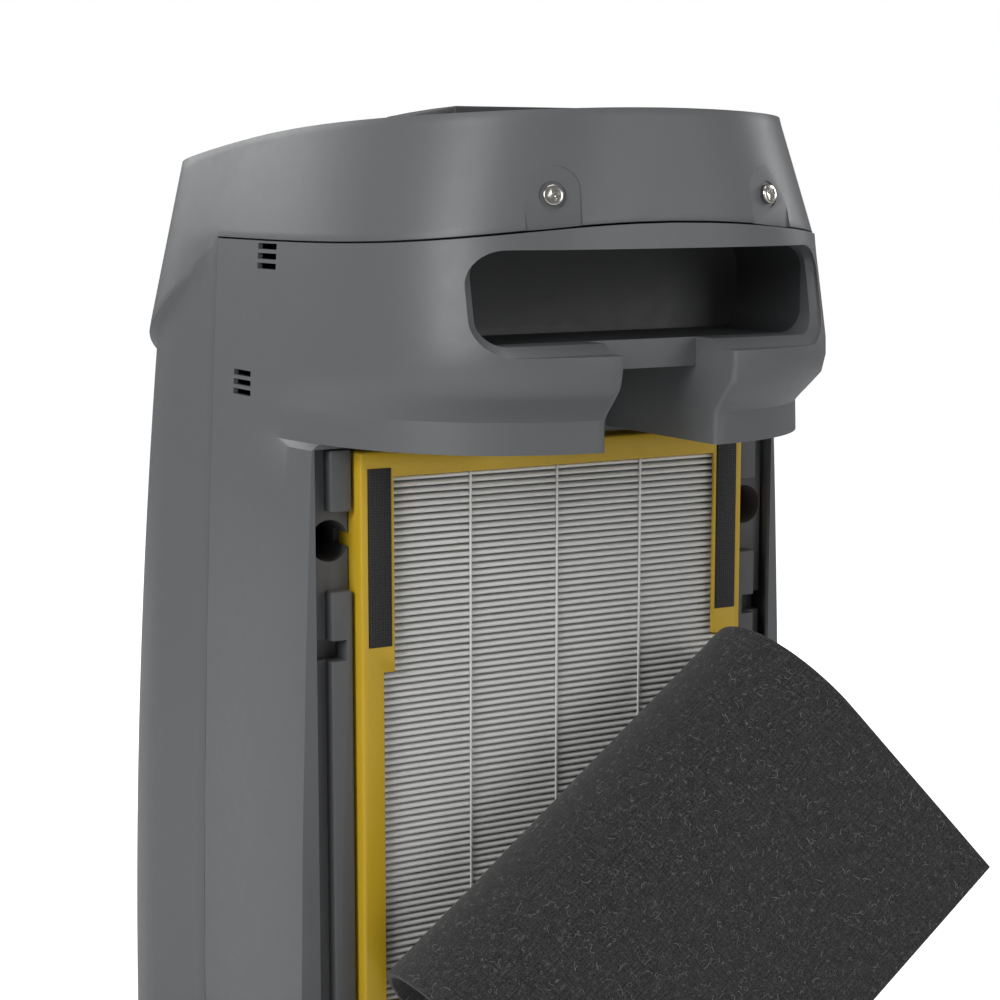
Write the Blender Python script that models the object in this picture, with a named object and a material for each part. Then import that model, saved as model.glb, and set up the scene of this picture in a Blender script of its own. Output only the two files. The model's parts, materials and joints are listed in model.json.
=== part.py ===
"""Tower air purifier seen from behind with its rear cover off.

The filter cartridge stands in the bay and its carbon pre-filter is peeled
away in a roll. Metres, +Z up, the front faces -Y. The origin is the centre
of the flat underside.
"""
import math

import bmesh
import bpy
from mathutils import Matrix, Vector

MM = 0.001

# Driving sizes, in millimetres.
BODY_WIDTH = 382.0
BODY_HEIGHT = 614.0
BODY_DEPTH = 420.5
WALL = 3.0
GAP = 0.3
SHELL_COLUMNS = 34
FRONT_ROWS = 12
CROWN_ROWS = 6
REAR_POWER = 3.4
FRONT_POWER = 2.5
DECK_DROP = 3.0
OUTLET_SLOTS = 11
HANDLE_HALF_WIDTH = 109.5
HANDLE_HEIGHT = 50.0
HANDLE_Z = 514.0
HANDLE_CORNER = 12.0
CUP_WALL = 2.5
CUP_BACK_Y = 130.5
GRIP_BAR_Y = 196.0
NOTCH_HALF_WIDTH = 35.5
NOTCH_ROOF_Z = 473.0
SKIRT_BOTTOM = 430.4
OPENING_HALF_WIDTH = 156.6
OPENING_BOTTOM = 68.0
BAY_CLEARANCE = 0.6
RIM_Y = 105.0
BAY_BACK_Y = 95.0
BLOCK_WIDTH = 13.5
VENT_COUNT = 3
VENT_PITCH = 5.6
VENT_HEIGHT = 3.4
VENT_LENGTH = 24.0
SOCKET_WIDTH = 32.0
SOCKET_HEIGHT = 26.0
SOCKET_Y = 36.0
SOCKET_Z = 49.0
SEAM_Y = -25.0
WIDE_Y = -80.0
SEAM_Z = 542.0
FILTER_HALF_WIDTH = 131.0
FILTER_BOTTOM = 90.0
FILTER_TOP = 425.0
FILTER_DEPTH = 30.0
FILTER_BACK_Y = 110.0
FILTER_CLEARANCE = 1.0
FRAME_BORDER = 15.0
STRIP_WIDTH = 14.2
STRIP_LENGTH = 101.8
FINGER_HOLE_RADIUS = 12.0
IMPELLER_RADIUS = 100.0
IMPELLER_WIDTH = 56.0
IMPELLER_BLADES = 24
IMPELLER_Z = 245.0
SCROLL_CLEARANCE = 22.0
DUCT_RISE = 310.0
MOTOR_RADIUS = 42.0
MOTOR_LENGTH = 52.0
SHAFT_RADIUS = 4.0
BUTTON_COUNT = 4
BUTTON_PITCH = 26.0
SHEET_LENGTH = 285.0
SHEET_ROLL_RADIUS = 65.0
SHEET_TURN_DEG = 163.0
SHEET_FLAP = 126.0
SHEET_HEEL = 14.0
SHEET_THICKNESS = 5.0
SHEET_SLANT_DEG = 37.6

# The nominal body that every place below is written for.
STRETCH_X = BODY_WIDTH / 382.0
STRETCH_Y = BODY_DEPTH / 420.5
STRETCH_Z = BODY_HEIGHT / 614.0
STRETCH_ROUND = min(STRETCH_X, STRETCH_Y, STRETCH_Z)

MATERIALS = {
    "body_plastic": ((0.115, 0.118, 0.122), 0.42, 0.0),
    "inner_plastic": ((0.055, 0.057, 0.060), 0.50, 0.0),
    "gloss_black": ((0.010, 0.010, 0.011), 0.10, 0.0),
    "filter_yellow": ((0.62, 0.40, 0.035), 0.45, 0.0),
    "pleat_white": ((0.78, 0.78, 0.76), 0.85, 0.0),
    "string_white": ((0.85, 0.85, 0.83), 0.60, 0.0),
    "hook_black": ((0.015, 0.015, 0.016), 0.90, 0.0),
    "carbon_felt": ((0.028, 0.028, 0.029), 0.95, 0.0),
    "foam_grey": ((0.20, 0.20, 0.20), 0.95, 0.0),
    "nickel": ((0.62, 0.61, 0.58), 0.25, 1.0),
    "steel": ((0.50, 0.51, 0.52), 0.35, 1.0),
    "motor_shell": ((0.35, 0.36, 0.37), 0.40, 1.0),
    "board_green": ((0.03, 0.13, 0.06), 0.45, 0.0),
    "rubber": ((0.02, 0.02, 0.02), 0.85, 0.0),
    "button_grey": ((0.20, 0.205, 0.21), 0.40, 0.0),
}


def point(x, y, z):
    """A place in nominal millimetres, stretched with the body, in metres."""
    return Vector((x * STRETCH_X * MM, y * STRETCH_Y * MM, z * STRETCH_Z * MM))


def clear_scene():
    """Remove everything a new file holds."""
    for obj in list(bpy.data.objects):
        bpy.data.objects.remove(obj, do_unlink=True)


def material(name):
    """Make or reuse one named material."""
    mat = bpy.data.materials.get(name)
    if mat is None:
        colour, roughness, metallic = MATERIALS[name]
        mat = bpy.data.materials.new(name)
        mat.use_nodes = True
        shader = mat.node_tree.nodes["Principled BSDF"]
        shader.inputs["Base Color"].default_value = (*colour, 1.0)
        shader.inputs["Roughness"].default_value = roughness
        shader.inputs["Metallic"].default_value = metallic
        mat.diffuse_color = (*colour, 1.0)
        mat.roughness = roughness
        mat.metallic = metallic
    return mat


def add_object(name, bm, finish=None):
    """Turn a bmesh into an object with outward faces."""
    bmesh.ops.recalc_face_normals(bm, faces=bm.faces)
    mesh = bpy.data.meshes.new(name)
    bm.to_mesh(mesh)
    bm.free()
    obj = bpy.data.objects.new(name, mesh)
    bpy.context.collection.objects.link(obj)
    if finish is not None:
        mesh.materials.append(material(finish))
    return obj


def apply_modifiers(obj):
    """Make an object's modifiers permanent."""
    bpy.ops.object.select_all(action="DESELECT")
    obj.select_set(True)
    bpy.context.view_layer.objects.active = obj
    for mod in list(obj.modifiers):
        bpy.ops.object.modifier_apply(modifier=mod.name)


def combine(obj, others, operation="DIFFERENCE"):
    """Cut, join or intersect an object with others, which are used up."""
    for other in others:
        other.hide_render = True
        other.display_type = "WIRE"
        mod = obj.modifiers.new(operation.title(), "BOOLEAN")
        mod.operation = operation
        mod.solver = "EXACT"
        mod.object = other
        apply_modifiers(obj)
        bpy.data.objects.remove(other, do_unlink=True)
    tidy_mesh(obj)
    return obj


def tidy_mesh(obj):
    """Weld coincident points and drop flat slivers left by a Boolean."""
    bm = bmesh.new()
    bm.from_mesh(obj.data)
    bmesh.ops.remove_doubles(bm, verts=bm.verts, dist=0.00002)
    bmesh.ops.dissolve_degenerate(bm, edges=bm.edges, dist=0.00001)
    bm.to_mesh(obj.data)
    bm.free()


def bevel(obj, width, segments=2, angle=35.0):
    """Round an object's sharp edges."""
    mod = obj.modifiers.new("Bevel", "BEVEL")
    mod.width = width * MM
    mod.segments = segments
    mod.limit_method = "ANGLE"
    mod.angle_limit = math.radians(angle)
    apply_modifiers(obj)
    return obj


def box_between(name, low, high, finish=None, round_by=0.0, segments=2):
    """A box between two corners, already in metres."""
    bm = bmesh.new()
    bmesh.ops.create_cube(bm, size=1.0)
    size = high - low
    bmesh.ops.scale(bm, vec=size, verts=bm.verts)
    bmesh.ops.translate(bm, vec=(low + high) / 2, verts=bm.verts)
    obj = add_object(name, bm, finish)
    if round_by:
        bevel(obj, round_by, segments)
    return obj


def box(name, x, y, z, finish=None, round_by=0.0, segments=2):
    """A box from three (low, high) pairs in nominal millimetres."""
    low = point(x[0], y[0], z[0])
    high = point(x[1], y[1], z[1])
    return box_between(name, low, high, finish, round_by, segments)


def prism(name, outline, direction, finish=None):
    """Push a flat closed outline of points along a direction."""
    bm = bmesh.new()
    start = [bm.verts.new(p) for p in outline]
    end = [bm.verts.new(p + direction) for p in outline]
    count = len(outline)
    bm.faces.new(start)
    bm.faces.new(list(reversed(end)))
    for i in range(count):
        j = (i + 1) % count
        bm.faces.new((start[i], end[i], end[j], start[j]))
    return add_object(name, bm, finish)


def rounded_outline(half_x, low_z, high_z, radius, y, steps=6):
    """A rounded rectangle in a plane of constant Y, in nominal millimetres."""
    centres = (
        (half_x - radius, high_z - radius, 0.0),
        (-half_x + radius, high_z - radius, 90.0),
        (-half_x + radius, low_z + radius, 180.0),
        (half_x - radius, low_z + radius, 270.0),
    )
    outline = []
    for centre_x, centre_z, start in centres:
        for i in range(steps + 1):
            angle = math.radians(start + 90.0 * i / steps)
            x = centre_x + radius * math.cos(angle)
            z = centre_z + radius * math.sin(angle)
            outline.append(point(x, y, z))
    return outline


def rounded_block(name, half_x, y, z, radius, finish=None):
    """A rounded rectangle of width 2 * half_x pushed along Y."""
    outline = rounded_outline(half_x, z[0], z[1], radius, y[0])
    depth = Vector((0.0, (y[1] - y[0]) * STRETCH_Y * MM, 0.0))
    return prism(name, outline, depth, finish)


def cylinder(name, centre, radius, length, axis, finish=None, sides=32):
    """A cylinder centred on a point in metres; radius and length in mm."""
    bm = bmesh.new()
    bmesh.ops.create_cone(
        bm, cap_ends=True, segments=sides, radius1=radius * MM,
        radius2=radius * MM, depth=length * MM)
    turn = Vector((0, 0, 1)).rotation_difference(Vector(axis)).to_matrix()
    bmesh.ops.rotate(bm, matrix=turn, verts=bm.verts)
    bmesh.ops.translate(bm, vec=centre, verts=bm.verts)
    return add_object(name, bm, finish)


def move_origin(obj, place):
    """Put an object's origin at a place and leave its surface still."""
    obj.data.transform(Matrix.Translation(-place))
    obj.location = place


# ---------------------------------------------------------------- body form

def seam_half_width(z):
    """Half width at the vertical seam between front and rear shells."""
    rise = max(0.0, min(z, SEAM_Z) - 30.0) / 583.0
    width = 175.5 - 22.6 * rise ** 1.71
    return width - 0.2264 * max(0.0, z - SEAM_Z)


def front_half_width(z, crown):
    """Half width at the widest line of the front shell."""
    if crown:
        return 173.0 - 0.2264 * max(0.0, z - 481.8)
    rise = max(0.0, z - 30.0) / 583.0
    return 191.0 - 39.0 * rise ** 1.9


def front_face_y(z, crown):
    """How far forward the front face reaches at a height."""
    if crown:
        return -182.0 + 0.12 * max(0.0, z - 450.0)
    return -186.0 + 0.018 * z


def crown_rear_y(z):
    """How far back the crown reaches at a height."""
    return 225.0 - 0.167 * (z - 548.0)


def crown_power(z):
    """The crown's outline gets rounder towards its rim."""
    share = min(1.0, max(0.0, (z - SEAM_Z) / 66.0))
    return REAR_POWER - 0.4 * share


def seam_height(x):
    """The crown's lower edge rises towards the middle of the back."""
    share = max(0.0, 1.0 - (x / 157.0) ** 2)
    return SEAM_Z + 12.0 * share ** 1.3


def crease_height(y):
    """The crown's lower crease falls from the seam to the front face."""
    share = min(1.0, max(0.0, (y + 182.0) / (182.0 + SEAM_Y)))
    return 446.0 + (SEAM_Z - 446.0) * share ** 1.2


def rim_height(x, y):
    """The top edge is highest at the back and falls to the front."""
    return 615.0 - 0.0003 * (y - 150.0) ** 2 - 0.0004 * x * x


def rear_xy(turn, half_width, reach, power):
    """A point on the rear outline; turn runs from 0 (+X) to 1 (-X)."""
    angle = math.pi * turn
    cosine = math.cos(angle)
    sine = max(0.0, math.sin(angle))
    x = half_width * math.copysign(abs(cosine) ** (2.0 / power), cosine)
    return x, SEAM_Y + reach * sine ** (2.0 / power)


def front_xy(turn, seam_half, wide_half, front_y):
    """A point on the front outline; turn runs from 0 (-X) to 1 (+X)."""
    lead = 0.08
    if turn <= lead:
        share = turn / lead
        x = -(seam_half + (wide_half - seam_half) * share)
        return x, SEAM_Y + (WIDE_Y - SEAM_Y) * share
    if turn >= 1.0 - lead:
        share = (1.0 - turn) / lead
        x = seam_half + (wide_half - seam_half) * share
        return x, SEAM_Y + (WIDE_Y - SEAM_Y) * share
    angle = math.pi * (turn - lead) / (1.0 - 2.0 * lead)
    cosine = math.cos(angle)
    x = -wide_half * math.copysign(abs(cosine) ** (2.0 / FRONT_POWER), cosine)
    y = WIDE_Y - (WIDE_Y - front_y) * math.sin(angle) ** (2.0 / FRONT_POWER)
    return x, y


def make_front_shell():
    """Crown ring and front panel: one wall with a sloping crease."""
    bm = bmesh.new()
    columns = SHELL_COLUMNS
    rows = []
    for row in range(CROWN_ROWS + 1):
        share = row / CROWN_ROWS
        line = []
        for i in range(2 * columns):
            rear = i <= columns
            turn = (i if rear else i - columns) / columns
            z = 560.0
            for _ in range(4):
                if rear:
                    reach = crown_rear_y(z) - SEAM_Y
                    x, y = rear_xy(turn, seam_half_width(z), reach, crown_power(z))
                    low = seam_height(x)
                else:
                    wide = front_half_width(z, True)
                    x, y = front_xy(turn, seam_half_width(z), wide, front_face_y(z, True))
                    low = crease_height(y)
                high = rim_height(x, y)
                z = high + (low - high) * share
            line.append(bm.verts.new(point(x, y, z)))
        rows.append(line)
    for upper, lower in zip(rows, rows[1:]):
        for i in range(2 * columns):
            j = (i + 1) % (2 * columns)
            bm.faces.new((upper[i], upper[j], lower[j], lower[i]))
    previous = [rows[-1][(columns + i) % (2 * columns)] for i in range(columns + 1)]
    foot = 4.0
    for row in range(FRONT_ROWS + 1):
        share = row / FRONT_ROWS
        line = []
        for i in range(columns + 1):
            turn = i / columns
            top = crease_height(previous[i].co.y / MM / STRETCH_Y) if row == 0 else None
            if row == 0:
                z = top - 4.0 * min(1.0, 6.0 * min(turn, 1.0 - turn))
            else:
                z = tops[i] + (foot - tops[i]) * share
            low_half = front_half_width(z, False)
            x, y = front_xy(turn, seam_half_width(z), low_half, front_face_y(z, False))
            line.append((x, y, z))
        if row == 0:
            tops = [place[2] for place in line]
        verts = []
        for i, place in enumerate(line):
            at_seam = i in (0, columns)
            if row == 0 and at_seam:
                verts.append(previous[i])
            else:
                verts.append(bm.verts.new(point(*place)))
        for i in range(columns):
            corners = (previous[i], previous[i + 1], verts[i + 1], verts[i])
            distinct = list(dict.fromkeys(corners))
            if len(distinct) > 2:
                bm.faces.new(distinct)
        previous = verts
    shell = add_object("front_shell", bm, "body_plastic")
    mod = shell.modifiers.new("Wall", "SOLIDIFY")
    mod.thickness = WALL * MM
    mod.offset = -1.0
    mod.use_even_offset = True
    apply_modifiers(shell)
    return shell


# Height, rear reach and roundness of the rear shell's outline at each level.
REAR_LEVELS = (
    (6.0, 217.0, 3.5), (200.0, 217.0, 3.5), (427.0, 217.0, 3.5), (SKIRT_BOTTOM, 217.0, 2.9),
    (448.0, 217.0, 2.9), (452.0, 220.0, 3.0), (466.0, 232.0, 3.4), (476.0, 234.3, 3.5),
    (486.0, 234.5, 3.5), (500.0, 232.0, 3.5), (525.0, 228.5, 3.45), (SEAM_Z, 226.5, 3.4),
)


def rear_solid(name, inset, bottom, front_y, top_drop):
    """A solid D-shaped loft of the rear shell's form."""
    levels = [list(level) for level in REAR_LEVELS]
    levels[0][0] = bottom
    levels[-1][0] = None
    bm = bmesh.new()
    rows = []
    columns = SHELL_COLUMNS
    for z, rear, power in levels:
        line = []
        height = SEAM_Z if z is None else z
        half = seam_half_width(height) - inset
        reach = rear - SEAM_Y - inset
        flat = [(half, front_y)]
        for i in range(1, columns):
            flat.append(rear_xy(i / columns, half, reach, power))
        flat.append((-half, front_y))
        for x, y in flat:
            place_z = height if z is not None else seam_height(x) - top_drop
            line.append(bm.verts.new(point(x, y, place_z)))
        rows.append(line)
    count = columns + 1
    for lower, upper in zip(rows, rows[1:]):
        for i in range(count):
            j = (i + 1) % count
            bm.faces.new((lower[i], lower[j], upper[j], upper[i]))
    for line in (rows[0], rows[-1]):
        for i in range(count // 2):
            mirror = count - 1 - i
            corners = (line[i], line[i + 1], line[mirror - 1], line[mirror])
            distinct = list(dict.fromkeys(corners))
            if len(distinct) > 2:
                bm.faces.new(distinct)
    return add_object(name, bm, "body_plastic")


def make_rear_shell():
    """Rear half: sides, rim, hood with hand grip mouth, notch and skirt."""
    handle_low = HANDLE_Z - HANDLE_HEIGHT / 2
    handle_high = HANDLE_Z + HANDLE_HEIGHT / 2
    roof = NOTCH_ROOF_Z
    bar_y = GRIP_BAR_Y
    shell = rear_solid("rear_shell", 0.0, 6.0, SEAM_Y + GAP, 1.1)
    below = box("below_hood", (-300, 300), (RIM_Y, 400), (-50, SKIRT_BOTTOM))
    combine(shell, [below])
    hollow = rear_solid("hollow", WALL, -20.0, SEAM_Y - 20.0, -30.0)
    rim_block = box("rim_block", (-300, 300), (RIM_Y - WALL, 400), (-60, SKIRT_BOTTOM + WALL))
    side = NOTCH_HALF_WIDTH + WALL
    notch_block = box("notch_block", (-side, side), (RIM_Y - WALL, 400), (0, roof + WALL))
    bar_block = box("bar_block", (-side, side), (bar_y - WALL, 400), (400, handle_low - 0.4))
    mouth_block = rounded_block(
        "mouth_block", HANDLE_HALF_WIDTH + WALL, (bar_y - WALL, 400.0),
        (handle_low - WALL, handle_high + WALL), HANDLE_CORNER + WALL)
    combine(hollow, [rim_block, notch_block, bar_block, mouth_block])
    combine(shell, [hollow])
    mouth = rounded_block(
        "mouth", HANDLE_HALF_WIDTH, (bar_y - 20.0, 400.0), (handle_low, handle_high), HANDLE_CORNER)
    notch = box("notch", (-NOTCH_HALF_WIDTH, NOTCH_HALF_WIDTH), (RIM_Y, 400), (300, roof))
    lip_notch = box(
        "lip_notch", (-NOTCH_HALF_WIDTH, NOTCH_HALF_WIDTH), (bar_y, 400), (450, handle_low + 2.0))
    opening = box(
        "opening", (-OPENING_HALF_WIDTH, OPENING_HALF_WIDTH), (RIM_Y - 20, RIM_Y + 20),
        (OPENING_BOTTOM, SKIRT_BOTTOM - WALL))
    combine(shell, [mouth, notch, lip_notch, opening])
    slots = []
    for low_y, low_z in ((34.0, 525.0), (6.0, 451.0)):
        for i in range(VENT_COUNT):
            z = low_z + VENT_PITCH * i
            slots.append(box("slot", (120, 200), (low_y, low_y + VENT_LENGTH), (z, z + VENT_HEIGHT)))
    combine(shell, slots)
    socket = box("socket", (-200, -140), socket_span(SOCKET_Y, SOCKET_WIDTH), socket_span(SOCKET_Z, SOCKET_HEIGHT))
    combine(shell, [socket])
    return shell


def socket_span(middle, size, inset=0.0):
    """Low and high ends of the mains socket across one direction."""
    return middle - size / 2 + inset, middle + size / 2 - inset


def make_handle_cup():
    """The liner that closes the hand grip behind its mouth."""
    low = HANDLE_Z - HANDLE_HEIGHT / 2
    high = HANDLE_Z + HANDLE_HEIGHT / 2
    cup = rounded_block(
        "handle_cup", HANDLE_HALF_WIDTH + CUP_WALL,
        (CUP_BACK_Y - CUP_WALL, GRIP_BAR_Y - WALL - GAP), (low - CUP_WALL, high + CUP_WALL),
        HANDLE_CORNER + 2.0, "inner_plastic")
    inside = rounded_block(
        "cup_inside", HANDLE_HALF_WIDTH, (CUP_BACK_Y, 250.0), (low, high), HANDLE_CORNER)
    combine(cup, [inside])


def make_base():
    """Base tray with a ledge at the back and four inset rubber feet."""
    bm = bmesh.new()
    rows = []
    inset = WALL + GAP
    for z, shrink in ((0.0, 8.0), (3.0, 5.0), (5.0, inset + 1.0), (26.0, inset + 1.0)):
        line = []
        half = seam_half_width(z) - shrink
        wide = front_half_width(z, False) - shrink
        front = front_face_y(z, False) + shrink
        for i in range(SHELL_COLUMNS + 1):
            x, y = front_xy(i / SHELL_COLUMNS, half, wide, front)
            line.append(bm.verts.new(point(x, y, z)))
        for x in (half - 9.0, -half + 9.0):
            line.append(bm.verts.new(point(x, RIM_Y - WALL - 1.0, z)))
        rows.append(line)
    count = len(rows[0])
    for lower, upper in zip(rows, rows[1:]):
        for i in range(count):
            j = (i + 1) % count
            bm.faces.new((lower[i], lower[j], upper[j], upper[i]))
    bm.faces.new(rows[0])
    bm.faces.new(rows[-1])
    tray = add_object("base_tray", bm, "inner_plastic")
    ledge = box("ledge", (-146, 146), (60, 188), (0, 4.0))
    combine(tray, [ledge], "UNION")
    wall = box("ledge_wall", (-146, 146), (183, 188), (2.0, 22.0))
    combine(tray, [wall], "UNION")
    trough = box("trough", (-150, 150), (-120, 90), (5.0, 60.0))
    combine(tray, [trough])
    pockets = []
    feet = ((-120.0, -105.0), (120.0, -105.0), (-115.0, 150.0), (115.0, 150.0))
    for x, y in feet:
        pockets.append(cylinder("pocket", point(x, y, 0), 13.0, 5.0, (0, 0, 1)))
    combine(tray, pockets)
    names = ("foot_front_right", "foot_front_left", "foot_rear_right", "foot_rear_left")
    for name, (x, y) in zip(names, feet):
        foot = cylinder(
            name, point(x, y, 0) + Vector((0, 0, 1.1 * MM)), 12.6, 2.2, (0, 0, 1), "rubber")
        bevel(foot, 0.4, 1)


def deck_place(x, y, z, flat=False):
    """A place above the domed top deck, which sits a little under the rim."""
    return point(x, y, rim_height(0.0 if flat else x, y) - DECK_DROP + z)


def deck_block(name, x, y, z, finish=None, round_by=0.0, flat=False):
    """A block that follows the dome of the top deck."""
    columns = 1 if flat else 6
    rows = 6
    bm = bmesh.new()
    layers = []
    for height in z:
        layer = []
        for j in range(rows + 1):
            place_y = y[0] + (y[1] - y[0]) * j / rows
            line = []
            for i in range(columns + 1):
                place_x = x[0] + (x[1] - x[0]) * i / columns
                line.append(bm.verts.new(deck_place(place_x, place_y, height, flat)))
            layer.append(line)
        layers.append(layer)
        for j in range(rows):
            for i in range(columns):
                bm.faces.new((layer[j][i], layer[j][i + 1], layer[j + 1][i + 1], layer[j + 1][i]))
    low, high = layers
    for j in range(rows):
        for i in (0, columns):
            bm.faces.new((low[j][i], low[j + 1][i], high[j + 1][i], high[j][i]))
    for i in range(columns):
        for j in (0, rows):
            bm.faces.new((low[j][i], low[j][i + 1], high[j][i + 1], high[j][i]))
    obj = add_object(name, bm, finish)
    if round_by:
        bevel(obj, round_by, 2)
    return obj


def deck_pairs(inset):
    """Half widths and depths of the crown's inside just under its rim."""
    half_columns = SHELL_COLUMNS // 2
    pairs = []
    for step in range(half_columns, -1, -1):
        pairs.append(inner_rim(step / SHELL_COLUMNS, True, inset))
    for step in range(1, half_columns + 1):
        pairs.append(inner_rim(1.0 - step / SHELL_COLUMNS, False, inset))
    return pairs


def inner_rim(turn, rear, inset):
    """One place on the crown's inner outline at the deck's height."""
    z = 604.0
    for _ in range(4):
        half = seam_half_width(z) - inset
        if rear:
            reach = crown_rear_y(z) - SEAM_Y - inset
            x, y = rear_xy(turn, half, reach, crown_power(z))
        else:
            wide = front_half_width(z, True) - inset
            x, y = front_xy(turn, half, wide, front_face_y(z, True) + inset)
        z = rim_height(x, y) - DECK_DROP
    return abs(x), y


def dome_sheet(bm, pairs, z, columns=8):
    """A domed surface over mirrored pairs of places; returns its rim."""
    rows = []
    for half, y in pairs:
        if half < 0.5:
            rows.append([bm.verts.new(deck_place(0.0, y, z))])
            continue
        row = []
        for i in range(columns + 1):
            row.append(bm.verts.new(deck_place(half - 2 * half * i / columns, y, z)))
        rows.append(row)
    for upper, lower in zip(rows, rows[1:]):
        for i in range(columns):
            corners = []
            for row, index in ((upper, i), (upper, i + 1), (lower, i + 1), (lower, i)):
                corners.append(row[min(index, len(row) - 1)])
            bm.faces.new(list(dict.fromkeys(corners)))
    right = [row[0] for row in rows]
    left = [row[-1] for row in rows if len(row) > 1]
    return right + list(reversed(left))


def make_top():
    """Deck, raised outlet grille, control panel, display and buttons."""
    bm = bmesh.new()
    pairs = deck_pairs(WALL + 1.6)
    top = dome_sheet(bm, pairs, 0.0)
    bottom = dome_sheet(bm, pairs, -3.0)
    for i in range(len(top)):
        j = (i + 1) % len(top)
        bm.faces.new((top[i], top[j], bottom[j], bottom[i]))
    deck = add_object("top_deck", bm, "body_plastic")
    outlet = box("outlet", (-70.4, 70.4), (23.6, 110.4), (500, 700))
    panel_hole = box("panel_hole", (-70, 70), (-110, -28), (500, 700))
    combine(deck, [outlet, panel_hole])
    grille = deck_block(
        "outlet_grille", (-70, 70), (24, 110), (-3.0, DECK_DROP + 1.8), "gloss_black", 1.0, True)
    slots = []
    pitch = 132.0 / OUTLET_SLOTS
    for i in range(OUTLET_SLOTS):
        low_x = -66.0 + pitch * i + 1.2
        for low_y, high_y in ((28.0, 65.0), (69.0, 106.0)):
            slots.append(box("slot", (low_x, low_x + pitch - 2.4), (low_y, high_y), (500, 700)))
    combine(grille, slots)
    panel = deck_block("control_panel", (-69.6, 69.6), (-109.6, -28.4), (-4.0, 1.2), "gloss_black", 0.5)
    window_hole = box("window_hole", (-26.3, 26.3), (-58.3, -33.7), (500, 700))
    combine(panel, [window_hole])
    first = -BUTTON_PITCH * (BUTTON_COUNT - 1) / 2
    up = (0.0, 0.0, 1.0)
    holes = []
    for i in range(BUTTON_COUNT):
        place = deck_place(first + BUTTON_PITCH * i, -82, 0)
        holes.append(cylinder("button_hole", place, 8.0, 30.0, up, None, 24))
    combine(panel, holes)
    deck_block("display_window", (-26, 26), (-58, -34), (-3.0, 1.6), "gloss_black", 0.4)
    labels = ("power", "speed", "mode", "timer")
    for i in range(BUTTON_COUNT):
        place = deck_place(first + BUTTON_PITCH * i, -82, 0)
        cap = cylinder("button_" + labels[i], place, 7.6, 5.0, up, "button_grey", 24)
        bevel(cap, 0.5, 1)
        move_origin(cap, place)
    deck_block("control_board", (-62, 62), (-104, -34), (-13.0, -11.4), "board_green")


def crown_surface(x, z):
    """The place on the crown's back at a width and height."""
    reach = crown_rear_y(z) - SEAM_Y
    power = crown_power(z)
    share = (abs(x) / seam_half_width(z)) ** power
    return point(x, SEAM_Y + reach * (1.0 - share) ** (1.0 / power), z)


def make_screws():
    """Two pan-head screws sunk into the back of the crown."""
    crown = bpy.data.objects["front_shell"]
    for name, x in (("crown_screw_left", 69.6), ("crown_screw_right", -69.6)):
        axis = Vector((math.copysign(0.27, x), 0.95, 0.16)).normalized()
        floor = crown_surface(x, 567.7) - axis * 1.6 * MM
        recess = cylinder("recess", floor + axis * 5.0 * MM, 7.5, 10.0, axis)
        hole = cylinder("hole", floor, 2.7, 16.0, axis, None, 20)
        combine(crown, [recess, hole])
        shank = cylinder(name, floor - axis * 3.0 * MM, 2.4, 9.0, axis, "nickel", 20)
        head = cylinder("head", floor + axis * 1.6 * MM, 5.6, 2.6, axis, None, 28)
        bevel(head, 0.9, 2)
        combine(shank, [head], "UNION")
        arms = []
        tilt = Vector((0, 0, 1)).rotation_difference(axis).to_matrix().to_4x4()
        for width, height in ((6.2, 1.1), (1.1, 6.2)):
            low = Vector((-width / 2, -height / 2, -1.2)) * MM
            high = Vector((width / 2, height / 2, 2.0)) * MM
            arm = box_between("arm", low, high)
            arm.data.transform(Matrix.Translation(floor + axis * 2.9 * MM) @ tilt)
            arms.append(arm)
        combine(shank, arms)


def make_filter_bay():
    """The moulding round the filter: gutters, raised ribs and finger holes."""
    half = OPENING_HALF_WIDTH - BAY_CLEARANCE
    top = SKIRT_BOTTOM - WALL - 0.8
    front = FILTER_BACK_Y - FILTER_DEPTH
    bay = box("filter_bay", (-half, half), (front - 18.0, BAY_BACK_Y), (OPENING_BOTTOM + 0.5, top), "body_plastic")
    snug = FILTER_HALF_WIDTH + FILTER_CLEARANCE
    air_half = FILTER_HALF_WIDTH - FRAME_BORDER + 1.0
    pocket = box("pocket", (-snug, snug), (front - 4.0, 200.0), (FILTER_BOTTOM - 2.0, 500.0))
    airway = box("airway", (-air_half, air_half), (0.0, 200.0), (FILTER_BOTTOM + 10.0, FILTER_TOP - 14.0))
    combine(bay, [pocket, airway])
    near = FILTER_HALF_WIDTH + 2.0
    far = near + BLOCK_WIDTH
    for sign in (-1.0, 1.0):
        low = min(sign * near, sign * far)
        high = max(sign * near, sign * far)
        upper = box("upper", (low, high), (front, RIM_Y - 1.5), (391.0, top - 0.2), None, 1.5)
        lower = box("lower", (low, high), (front, RIM_Y - 1.5), (70.0, 346.0), None, 1.5)
        combine(bay, [upper, lower], "UNION")
        hole = cylinder(
            "finger_hole", point(sign * (FILTER_HALF_WIDTH + 12.3), 100.0, 374.0),
            FINGER_HOLE_RADIUS * STRETCH_ROUND, 90.0, (0, 1, 0))
        latch = sorted((sign * (near + 4.0), sign * (far + 13.5)))
        slot = box("slot", latch, (front + 8.0, 200.0), (306.0, 318.0))
        combine(bay, [hole, slot])
    plunger_hole = cylinder("plunger_hole", point(60.0, 90.0, 77.5), 3.0, 90.0, (0, 1, 0), None, 20)
    combine(bay, [plunger_hole])


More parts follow.
